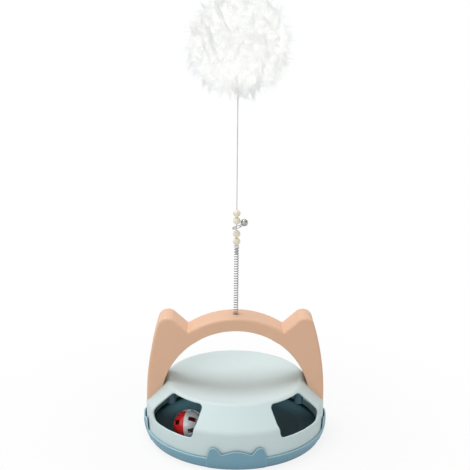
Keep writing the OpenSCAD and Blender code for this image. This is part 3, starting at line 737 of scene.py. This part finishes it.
for place, r, z in posts:
    top_z = dish_at(math.hypot(*place)) - 1
    levels = ((r - post_chamfer, z), (r, z + post_chamfer), (r, top_z))
    cover.rings([lying(circle(*place, q, 40), h) for q, h in levels], caps=True)
make("cover", cover, MINT, "base", ["track_cover"], 40)


# Arch

def side_x(z):
    return ARCH_FOOT_X - ARCH_SIDE_R + math.sqrt(ARCH_SIDE_R**2 - (z - ARCH_SIDE_Z) ** 2)


def arch_half():
    side_top_z = 155
    half = [(ARCH_FOOT_X, ARCH_FOOT_Z, 0)]
    half += [(side_x(z), z, 0) for z in np.linspace(ARCH_SIDE_Z, side_top_z, 14)]
    half += [(side_x(EAR_APEX_Z), EAR_APEX_Z, EAR_TIP_R)]
    valley_to_top = np.linspace(math.radians(VALLEY_ANGLE), math.pi / 2, 25)
    half += [
        (ARCH_OUT_R * math.cos(a), ARCH_Z + ARCH_OUT_R * math.sin(a), r)
        for a, r in zip(valley_to_top, [VALLEY_R] + [0] * 24)
    ]
    return half


half = arch_half()
arch_line = rounded(half + [(-x, z, r) for x, z, r in half[-2::-1]], 14)
arch_share = run_of(arch_line) / run_of(arch_line)[-1]
arch_run = units(np.gradient(arch_line, axis=0))
arch_inward = np.stack([-arch_run[:, 1], arch_run[:, 0]], axis=1)
foot_angle = math.atan2(ARCH_FOOT_Z - ARCH_Z, ARCH_FOOT_X)
knee_z = 100
spokes = foot_angle + (math.pi - 2 * foot_angle) * arch_share


def arch_track(where, pull, y):
    """One line of the arch from foot to foot, ended where it meets the cover."""
    if where == "in":
        flat = turned(ARCH_IN_R + pull, spokes) + np.array((0, ARCH_Z))
    else:
        flat = arch_line + arch_inward * pull
    track = standing(flat, y)
    knee = int(np.argmax(arch_line[:, 1] > knee_z))
    leg = track[: knee + 1]
    height = leg[:, 2] - cover_top(np.hypot(leg[:, 0], leg[:, 1]))
    k = int(np.argmax(height > 0))
    t = height[k - 1] / (height[k - 1] - height[k])
    line = np.vstack([leg[k - 1] + t * (leg[k] - leg[k - 1]), leg[k:]])
    run = run_of(line)
    even = np.linspace(0, run[-1], knee + 1)
    leg = np.column_stack([np.interp(even, run, line[:, c]) for c in range(3)])
    track[: knee + 1] = leg
    track[-knee - 1:] = (leg * np.array((-1, 1, 1)))[::-1]
    return track


def arch_tracks(face, flat, edge, columns):
    """Lines round the section from a seam at y flat to a face, and which is the face's inner one."""
    way, chamfer, margin = math.copysign(1, flat - face), 0.3, 0.8
    across = [("in", chamfer, flat), ("in", 0, flat - way * chamfer)]
    across += [
        ("in", INNER_EDGE_R * (1 - math.cos(a)), face + way * INNER_EDGE_R * (1 - math.sin(a)))
        for a in quarter(5)
    ]
    across += [("in", INNER_EDGE_R + margin, face), ("out", edge + margin, face)]
    across += [
        ("out", edge * (1 - math.sin(a)), face + way * edge * (1 - math.cos(a))) for a in quarter(8)
    ]
    across += [("out", 0, y) for y in np.linspace(face + way * edge, flat - way * chamfer, columns)[1:]]
    across += [("out", chamfer, flat)]
    face_in = max(k for k, a in enumerate(across) if a[0] == "in")
    return across, [arch_track(*a) for a in across], face_in


def arch_piece(tracks, skip):
    """Quads between the tracks and feet that are closed, leaving out what skip says."""
    n, m = len(tracks), len(tracks[0])
    faces = [
        (k * m + i, k * m + i + 1, (k + 1) % n * m + i + 1, (k + 1) % n * m + i)
        for k in range(n)
        for i in range(m - 1)
        if not skip(k, i)
    ]
    faces += [tuple(k * m for k in range(n)), tuple(k * m + m - 1 for k in range(n))[::-1]]
    return Build().add(np.vstack(tracks), faces)


def arch_face(build, tracks, face_in, y, holes=()):
    """The flat face from its inner line to the next line, with holes."""
    loop = np.vstack([tracks[face_in + 1], tracks[face_in][::-1]])[:, [0, 2]]
    flat, tris = patch([anticlockwise(loop), *holes])
    build.add(standing(flat, y), tris)


crown_half_w, crown_low_z = 13, 140
across, tracks, face_in = arch_tracks(-ARCH_HALF_DEPTH, ARCH_SEAM_Y, EDGE_R, 9)
top = [k for k, a in enumerate(across) if a[0] == "out" and a[1] < 1e-9]
crown = [i for i, (x, z) in enumerate(arch_line) if abs(x) < crown_half_w and z > crown_low_z]
first, last = crown[0], crown[-1]
shell = arch_piece(
    tracks, lambda k, i: k == face_in or top[0] <= k < top[-1] and first <= i < last
)
arch_face(shell, tracks, face_in, -ARCH_HALF_DEPTH)


def unroll(p):
    return (math.atan2(p[0], p[2] - ARCH_Z) * ARCH_OUT_R, p[1])


def on_crown(p, depth):
    a, r = p[:, 0] / ARCH_OUT_R, ARCH_OUT_R - depth
    return np.column_stack([r * np.sin(a), p[:, 1], ARCH_Z + r * np.cos(a)])


border = [tracks[k][first] for k in top] + [tracks[top[-1]][i] for i in crown[1:]]
border += [tracks[k][last] for k in top[-2::-1]] + [tracks[top[0]][i] for i in crown[-2:0:-1]]
border = anticlockwise(np.array([unroll(p) for p in border]))
lip, hole_r, hole_depth = 0.7, SOCKET_R + 0.1, 12
flat, tris = patch(
    [border, circle(0, 0, hole_r + lip, 48)],
    np.vstack([circle(0, 0, q, n) for q, n in ((8, 40), (10, 36))]),
    1.2,
)
shell.add(on_crown(flat, 0), tris)
rings = [
    on_crown(circle(0, 0, hole_r + lip * (1 - math.sin(a)), 48), lip * (1 - math.cos(a)))
    for a in quarter(4)
]
shell.rings(rings + [lying(circle(0, 0, hole_r, 48), CROWN_Z - hole_depth)])
make("arch_front", shell, TAN, "base", ["arch_shell"], 35, even=True)

_, tracks, lid_in = arch_tracks(ARCH_HALF_DEPTH, ARCH_SEAM_Y + 0.1, LID_EDGE_R, 3)
lid = arch_piece(tracks, lambda k, i: k == lid_in)
holes = [(x * s, z) for x, z in LID_SCREWS for s in (1, -1)]
arch_face(lid, tracks, lid_in, ARCH_HALF_DEPTH, [pocket_rim(place) for place in holes])
for place in holes:
    sunk_hole(lid, place, ARCH_HALF_DEPTH, ARCH_HALF_DEPTH - SCREW_HEAD_H, standing)
make("arch_rear", lid, TAN, "base", ["arch_rear_cover"], 35, even=True)


# Screws with a cross recess

def cross_loop(half_w, reach, bulb=0.0):
    """A plus-shaped outline. With a bulb, each arm ends in a round hole."""
    points = []
    for k in range(4):
        turn = math.pi / 2 * k
        c, s = math.cos(turn), math.sin(turn)
        if bulb:
            start = math.asin(half_w / bulb)
            arm = [(reach - bulb * math.cos(start), -half_w)]
            arm += [
                (reach - bulb * math.cos(a), -bulb * math.sin(a))
                for a in np.linspace(start, FULL - start, 15)[1:-1]
            ]
            arm += [(reach - bulb * math.cos(start), half_w)]
        else:
            arm = [(reach, -half_w), (reach, half_w)]
        arm += [(half_w, half_w)]
        points += [(c * x - s * y, s * x + c * y) for x, y in arm]
    return np.array(points)


def screw(length):
    """Pan head down, shank up from its seat at height 0."""
    dome, recess, shank_r, head_in_r, head_in_z = 0.9, 1.4, 1.45, SCREW_HEAD_R - 0.1, -1.05

    def on_head(p, depth):
        fall = dome * (np.linalg.norm(p, axis=1) / SCREW_HEAD_R) ** 2
        z = -SCREW_HEAD_H + fall * (1 - depth / recess) + depth
        return np.column_stack([p[:, 0], -p[:, 1], z])

    build = Build().shell(
        [circle(0, 0, SCREW_HEAD_R, 40), cross_loop(0.42, 1.75)],
        on_head, recess, 0.12, np.vstack([circle(0, 0, q, 24) for q in (2.2, 2.7)]), 0.3, 3,
    )
    shank = [
        (0, head_in_z), (head_in_r, head_in_z), (head_in_r, 0), (shank_r, 0),
        (shank_r, length - 2), (0.3, length), (0, length),
    ]
    return build.revolve(shank, 32)


def place_screws(name, node, length, places, turn):
    build = Build()
    for place in places:
        one = screw(length).moved(Matrix.Translation(place) @ turn)
        build.add(one.points, one.faces)
    make(name, build, STEEL, "base", [node], 30)


upright = Matrix.Identity(4)
place_screws(
    "screws_under", "cover_screws", 20, [(x, y, COVER_SCREW_Z) for x, y in screw_places()], upright,
)
place_screws(
    "screws_rear", "rear_cover_screws", 22,
    [(x, ARCH_HALF_DEPTH - SCREW_HEAD_H, z) for x, z in holes],
    rotation(90, "X"),
)
place_screws(
    "screws_retainer", "retainer_screws", 20,
    [(x, y, RETAINER_SCREW_Z) for x, y in RETAINERS], upright,
)
place_screws("screw_crown", "spring_screw", 12, [(0, 0, ARCH_Z + ARCH_IN_R - 0.1)], upright)


# Spring, cap and wand

def coil(low, high):
    """The part of the spring's line between two heights."""
    tail, steps = 2 * SPRING_WIRE_R, 24
    count = SPRING_CURLS * steps
    first, rise = SOCKET_FLOOR_Z + tail, SPRING_TOP_Z - SOCKET_FLOOR_Z - 2 * tail
    points = [(SPRING_MEAN_R, 0, SOCKET_FLOOR_Z)]
    for i in range(count + 1):
        a = FULL * i / steps
        ease = min(1, i / 8, (count - i) / 8)
        z = first + rise * i / count
        if ease < 1:
            z += (1 - ease) ** 2 * 0.3 * (1 if i > count / 2 else -1)
        points.append((SPRING_MEAN_R * math.cos(a), SPRING_MEAN_R * math.sin(a), z))
    points.append((SPRING_MEAN_R, 0, SPRING_TOP_Z))
    return np.array([p for p in points if low - 0.2 <= p[2] <= high + 0.2])


def coil_piece(name, low, high, hinge_z):
    line = coil(low, high)
    build = Build().tube(line, SPRING_WIRE_R, 10, line * np.array((1, 1, 0)))
    obj = make(name, build, SPRING, None, ["coil_spring"], 60, weld=0)
    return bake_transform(obj)


middle = (SWAY_SIDE_Z + SWAY_FORE_Z) / 2
coil_piece("spring_lower", SOCKET_FLOOR_Z, middle, SWAY_SIDE_Z)
coil_piece("spring_upper", middle, SPRING_TOP_Z, SWAY_FORE_Z)

cap_r = SPRING_MEAN_R + SPRING_WIRE_R + 0.2
cap = Build().revolve(
    np.vstack([
        [(0, SPRING_TOP_Z - 9), (1.5, SPRING_TOP_Z - 9), (1.85, SPRING_TOP_Z - 8.6)],
        rounded([
            (1.85, SPRING_TOP_Z, 0.1), (cap_r, SPRING_TOP_Z, 0.35), (cap_r, SPRING_TOP_Z + 3, 0.9),
            (0.75, SPRING_TOP_Z + 3, 0.15), (0.75, SPRING_TOP_Z - 2, 0),
        ], 6)[:-1],
        [(0.6, SPRING_TOP_Z + 2.6), (0, SPRING_TOP_Z + 2.6)],
    ]), 48,
)
make("spring_cap_plug", cap, WHITE, "wand", ["spring_cap"], 40)

wire_z = np.linspace(SPRING_TOP_Z - 6.9, BINDING_TOP_Z - 2, 60)
wire_line = np.column_stack([0 * wire_z, 0 * wire_z, wire_z])
wire = Build().tube(wire_line, WAND_R, 12, np.tile((1, 0, 0), (60, 1)))
make("wand", wire, WIRE, "wand", ["wand_wire"], 60, weld=0)


def bead():
    hole, sweep = WAND_R + 0.05, 1.32
    skin = turned(BEAD_R, np.linspace(-sweep, sweep, 34))
    low = [(hole, -4.3), (hole + 0.08, -4.62), (hole + 0.3, -4.78)]
    high = [(r, -z) for r, z in low[::-1]]
    return np.vstack([low, skin, high, low[:1]])


for name, z in BEAD_Z.items():
    piece = Build().revolve(bead() + np.array((0, z)), 48)
    make(name + "_turned", piece, BEAD, name, [name], 40)


# Split ring and jingle bell

tilt = Matrix.Translation((0, 0, RING_Z)) @ rotation(-RING_TILT, "Y")
turns = np.linspace(math.pi / 2, math.pi / 2 + 1.5 * FULL, 91)
ring_line = np.column_stack([
    turned(RING_R, turns), RING_PITCH * ((turns - math.pi / 2) / FULL - 0.75)
])
taper = np.minimum(1, 0.55 + np.minimum(np.arange(91), 90 - np.arange(91)) * 0.25)
ring = Build().tube(ring_line, RING_WIRE_R * taper, 12, ring_line * np.array((1, 1, 0)))
make("split_ring", ring.moved(tilt), BELL, "bell_ring", ["bell_ring"], 60, weld=0)

lift = math.radians(RING_TILT)
hook = (RING_R * math.cos(lift), 0, RING_Z + RING_R * math.sin(lift))
in_bell = Matrix.Translation(hook) @ rotation(90 - BELL_LIFT, "Y")
in_bell = in_bell @ Matrix.Translation((0, 0, BELL_REACH))


def on_ball(radius, way):
    """Points of a sphere from the disc that its cap unrolls to, round its upper or lower pole."""
    def at(p, depth):
        s = np.linalg.norm(p, axis=1)
        turn = np.arctan2(p[:, 1], p[:, 0]) * way
        flat = (radius - depth) * np.sin(s / radius)
        z = way * (radius - depth) * np.cos(s / radius)
        return np.column_stack([turned(flat, turn), z])

    return at


def cap_grid(radius, steps, count):
    quarter_run = radius * math.pi / 2
    rings = [
        circle(0, 0, quarter_run * k / steps, max(8, int(count * min(1, 2 * k / steps))))
        for k in range(1, steps)
    ]
    return np.vstack([[(0, 0)]] + rings)


def bell_half(way, holes):
    """One half of the bell, with a rolled edge."""
    inner, outer, low, high = BELL_R - 0.4, BELL_R + 0.3, 0.02, 0.4
    rim = rounded([(inner, low, 0), (outer, low, 0.1), (outer, high, 0.18), (inner, high, 0)], 4)
    equator = circle(0, 0, (math.pi / 2 - 0.01) * BELL_R, 72)
    build = Build().shell(
        [equator, *holes], on_ball(BELL_R, way), BELL_WALL, 0.12, cap_grid(BELL_R, 14, 60), 0.3, 3
    )
    return build.revolve(np.vstack([rim, rim[:1]]) * np.array((1, way)), 72)


lower = bell_half(1, [resample(cross_loop(0.5, 4.6, 0.85), 0.22)])
make("bell_slotted_half", lower.moved(in_bell), BELL, "bell", ["bell_lower"], 50)

upper = bell_half(-1, [])
loop_r, loop_wire_r, loop_rise = 1.5, 0.4, 1.3
loop_line = standing(circle(0, 0, loop_r, 40), 0)
loop_side = loop_line.copy()
loop_line[:, 2] -= BELL_R + loop_rise
upper.tube(loop_line, loop_wire_r, 12, loop_side, closed=True)
make("bell_loop_half", upper.moved(in_bell), BELL, "bell", ["bell_upper"], 50)


# Ball

turn = math.radians(BALL_ANGLE)
ball_turn, ball_tip, ball_twist = -20, 81, -5.7
at_ball = Matrix.Translation((TRACK_R * math.cos(turn), TRACK_R * math.sin(turn), BALL_Z))
at_ball = at_ball @ rotation(ball_turn, "Z") @ rotation(ball_tip, "Y") @ rotation(ball_twist, "Z")


def slot_loop(k):
    """One sound slot on the unrolled cap, upright and of even width."""
    low, high = (BALL_R * math.sin(math.radians(a)) for a in (SLOT_LOW, SLOT_HIGH))
    ends = [(-SLOT_HALF_W, low), (SLOT_HALF_W, low), (SLOT_HALF_W, high), (-SLOT_HALF_W, high)]
    edge = resample(rounded([(*end, SLOT_CORNER_R) for end in ends], 6), 0.6)
    across, z = edge[:, 0], edge[:, 1]
    x = np.sqrt(BALL_R**2 - across**2 - z**2)
    s = BALL_R * np.arccos(z / BALL_R)
    a = np.arctan2(across, x) + FULL * k / BALL_SLOTS + math.radians(SLOT_TURN)
    return turned(s, a)


def ball_half(way):
    edge = circle(0, 0, (math.pi / 2 - 0.002) * BALL_R, 144)
    pole_hole_r = 3.2
    holes = [slot_loop(k) for k in range(BALL_SLOTS)] + [circle(0, 0, pole_hole_r, 32)]
    return Build().shell(
        [edge] + holes, on_ball(BALL_R, way), BALL_WALL, 0.4, cap_grid(BALL_R, 24, 144), 0.5, 4
    ).moved(at_ball)


make("ball_half_white", ball_half(1), BALL_WHITE, "ball", ["ball_white_half"], 50)
make("ball_half_red", ball_half(-1), BALL_RED, "ball", ["ball_red_half"], 50)


# Feather puff

def tangents(way):
    """Two directions across each of many directions."""
    side = units(np.cross(way, np.where(np.abs(way[:, 2:]) < 0.9, (0.0, 0.0, 1.0), (1.0, 0.0, 0.0))))
    return side, np.cross(way, side)


def spread_ways(count, draw, jitter):
    """Directions spread evenly over a sphere, each a little off its place."""
    k = np.arange(count) + 0.5
    z = 1 - 2 * k / count
    a = math.pi * (3 - math.sqrt(5)) * k
    way = np.column_stack([turned(np.sqrt(1 - z * z), a), z])
    return units(way + draw.normal(0, jitter, way.shape))


def hairs(build, root, knee, tip, width, rings=4):
    """Fine three-sided hairs, each a curve from root to tip that tapers to a point."""
    n = len(root)
    t = np.linspace(0, 1, rings)[:, None, None]
    line = (1 - t) ** 2 * root + 2 * t * (1 - t) * knee + t * t * tip
    side, up = tangents(units(tip - root))
    turn = 2.4 * np.arange(n)[:, None]
    points = []
    for i in range(rings - 1):
        r = (width * (1 - 0.7 * (i / (rings - 1)) ** 2))[:, None]
        for a in (turn, turn + FULL / 3, turn + 2 * FULL / 3):
            points.append(line[i] + r * (np.cos(a) * side + np.sin(a) * up))
    points.append(line[-1])
    each = len(points)
    last = each - 1
    pattern = [
        (3 * i + k, 3 * i + (k + 1) % 3, 3 * i + 3 + (k + 1) % 3, 3 * i + 3 + k)
        for i in range(rings - 2)
        for k in range(3)
    ]
    pattern += [(last - 3 + k, last - 3 + (k + 1) % 3, last) for k in range(3)] + [(2, 1, 0)]
    flat = np.stack(points, axis=1).reshape(-1, 3)
    faces = [tuple(i + each * j for i in f) for j in range(n) for f in pattern]
    build.add(flat, faces)


def down_core(radius, swell, rows, columns):
    """The dense middle of the puff: a lumpy ball of packed down."""
    grid = []
    for i in range(1, rows):
        polar = math.pi * i / rows
        for j in range(columns):
            turn = FULL * j / columns
            flat = math.sin(polar)
            way = Vector((flat * math.cos(turn), flat * math.sin(turn), math.cos(polar)))
            lump = noise.fractal(way * 7, 0.8, 2.2, 4)
            grid.append(way * (radius + swell * lump))
    points = [Vector((0, 0, radius))] + grid + [Vector((0, 0, -radius))]

    def at(i, j):
        return 1 + i * columns + j % columns

    faces = [
        (at(i, j), at(i + 1, j), at(i + 1, j + 1), at(i, j + 1))
        for i in range(rows - 2)
        for j in range(columns)
    ]
    end = len(points) - 1
    faces += [(0, at(0, j), at(0, j + 1)) for j in range(columns)]
    faces += [(end, at(rows - 2, j + 1), at(rows - 2, j)) for j in range(columns)]
    return Build().add(points, faces)


def feather(seed, locks, strands, fuzz, strays):
    """The down round the core: pointed locks, short fuzz between them and long stray barbs."""
    lock_short, lock_usual, lock_root_r, lock_r = 58, 67, 47, 4.0
    draw = np.random.default_rng(seed)
    build = Build()

    way = spread_ways(locks, draw, 0.10)
    side, up = tangents(way)
    lean = draw.normal(0, 0.24, (locks, 2))
    point = way + lean[:, :1] * side + lean[:, 1:] * up + np.array((0, 0, -0.04))
    reach = draw.triangular(lock_short, lock_usual, PUFF_REACH, locks)
    point *= (reach / np.linalg.norm(point, axis=1))[:, None]
    pick = np.repeat(np.arange(locks), strands)
    n = len(pick)
    ring, turn = lock_r * np.sqrt(draw.random((n, 1))), FULL * draw.random((n, 1))
    root = lock_root_r * way[pick] + ring * (np.cos(turn) * side[pick] + np.sin(turn) * up[pick])
    tip = point[pick] + draw.normal(0, 1.1, (n, 3))
    tip = root + (tip - root) * draw.uniform(0.7, 1.0, (n, 1))
    knee = root + 0.5 * np.linalg.norm(tip - root, axis=1)[:, None] * way[pick]
    knee += draw.normal(0, 1.6, (n, 3))
    hairs(build, root, knee, tip, draw.uniform(0.14, 0.27, n))

    for count, low, high, loose, rings in ((fuzz, 5, 11, 0.45, 3), (strays, 14, 28, 0.3, 4)):
        way = spread_ways(count, draw, 0.05)
        root = way * draw.uniform(CORE_R - 4, CORE_R, (count, 1))
        out = way + draw.normal(0, loose, (count, 3))
        tip = root + out * draw.uniform(low, high, (count, 1)) / np.linalg.norm(out, axis=1)[:, None]
        knee = (root + tip) / 2 + draw.normal(0, 1.8, (count, 3))
        hairs(build, root, knee, tip, draw.uniform(0.12, 0.22, count), rings)

    points = np.array(build.points)
    far = np.linalg.norm(points, axis=1)[:, None]
    points *= np.minimum(1, PUFF_REACH / np.maximum(far, 1e-6))
    build.points = [tuple(p) for p in points + np.array(PUFF_PLACE)]
    return build


core = down_core(CORE_R, 2.0, 72, 120).moved(Matrix.Translation(PUFF_PLACE))
core = make("feather_core", core, FEATHER, "wand", ["feather_puff"], 60)

share = 1
down = feather(7, 300, int(22 * share), int(7500 * share), int(1000 * share))
down = make("feather_down", down, FEATHER, "wand", ["feather_puff"], 60, weld=0)
# With shadows the puff comes out darker than in the photo
core.visible_shadow = down.visible_shadow = False

turns_z = np.arange(BINDING_LOW_Z, BINDING_TOP_Z, 0.25)
swell = np.interp(
    turns_z, [BINDING_LOW_Z, BINDING_LOW_Z + 8, BINDING_TOP_Z],
    [0.75, BINDING_R - 0.2, BINDING_R - 0.3],
)
swell = swell + 0.12 * np.sin(turns_z * FULL)
binding = np.column_stack([swell, turns_z])
binding = np.vstack([[(0, BINDING_LOW_Z)], binding, [(0, BINDING_TOP_Z)]])
make("feather_wrap", Build().revolve(binding, 28), THREAD, "wand", ["feather_binding"], 60)


# CAD nodes that stay, with their own materials

for node, material in {
    "rubber_feet": RUBBER,
    "arch_retainer_left": BLUE,
    "arch_retainer_right": BLUE,
    "spring_socket": TAN,
    "bell_pellet": BELL,
    "ball_bell": BELL,
    "ball_pellet": BELL,
}.items():
    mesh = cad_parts[node].data
    mesh.materials.clear()
    mesh.materials.append(material)


# Stage, light and camera

def sees_backdrop(tree):
    """1 for the rays that show the backdrop: the camera's, and those in reflections and through glass."""
    path = tree.nodes.new("ShaderNodeLightPath")
    seen = path.outputs["Is Camera Ray"]
    for ray in ("Is Glossy Ray", "Is Transmission Ray"):
        either = tree.nodes.new("ShaderNodeMath")
        either.operation = "MAXIMUM"
        tree.links.new(seen, either.inputs[0])
        tree.links.new(path.outputs[ray], either.inputs[1])
        seen = either.outputs[0]
    return seen


def stage_material():
    """A pale floor that keeps the shadow near the object and fades into the white backdrop."""
    m = Material("stage_floor", 0.9)
    m.colour(grey(0.8))
    away = m.node("ShaderNodeVectorMath", Vector=m.place)
    away.operation = "LENGTH"
    near, far, near_glow = 0.12, 0.42, 0.85
    fade = m.spread(away.outputs["Value"], near_glow, 1, near, far)
    seen = m.node("ShaderNodeMath")
    seen.operation = "MULTIPLY"
    m.set(seen.inputs[0], sees_backdrop(m.tree))
    m.set(seen.inputs[1], fade)
    glow = m.node("ShaderNodeEmission", Color=grey(1))
    return m.mixed(seen.outputs["Value"], glow).made


floor = bpy.data.meshes.new("floor")
floor.from_pydata([(-8, -8, 0), (8, -8, 0), (8, 8, 0), (-8, 8, 0)], [], [(0, 1, 2, 3)])
floor.materials.append(stage_material())
floor_obj = add_object("floor", floor)

world = bpy.data.worlds.new("studio")
bpy.context.scene.world = world
world.use_nodes = True
nodes, links = world.node_tree.nodes, world.node_tree.links
sky = nodes["Background"]
white = nodes.new("ShaderNodeBackground")
for light, strength in ((sky, 0.45), (white, 1)):
    light.inputs["Color"].default_value = grey(1)
    light.inputs["Strength"].default_value = strength
blend = nodes.new("ShaderNodeMixShader")
links.new(sees_backdrop(world.node_tree), blend.inputs["Fac"])
links.new(sky.outputs[0], blend.inputs[1])
links.new(white.outputs[0], blend.inputs[2])
links.new(blend.outputs[0], nodes["World Output"].inputs["Surface"])


def lamp(name, at, aim, size, power):
    data = bpy.data.lights.new(name, "AREA")
    data.shape, data.size, data.energy = "DISK", size, power
    obj = add_object(name, data)
    obj.location = at
    obj.rotation_euler = (Vector(aim) - Vector(at)).to_track_quat("-Z", "Y").to_euler()


lamp("overhead", (-1.0, 0.3, 4.0), (0, 0, 0.1), 3.2, 92)
lamp("front_fill", (-1.6, -3.4, 2.3), (0, 0, 0.2), 1.8, 25)

camera = bpy.data.cameras.new("camera")
camera.lens, camera.sensor_width = 74.3, 36
down_angle, yaw, roll = 15.065, -1.3025, 0.54
camera_obj = add_object("camera", camera)
camera_obj.location = (-0.0293, -1.1996, 0.595)
turn = rotation(yaw, "Z") @ rotation(90 - down_angle, "X") @ rotation(roll, "Z")
camera_obj.rotation_euler = turn.to_euler()
bpy.context.scene.camera = camera_obj
bpy.context.scene.view_settings.view_transform = "Standard"
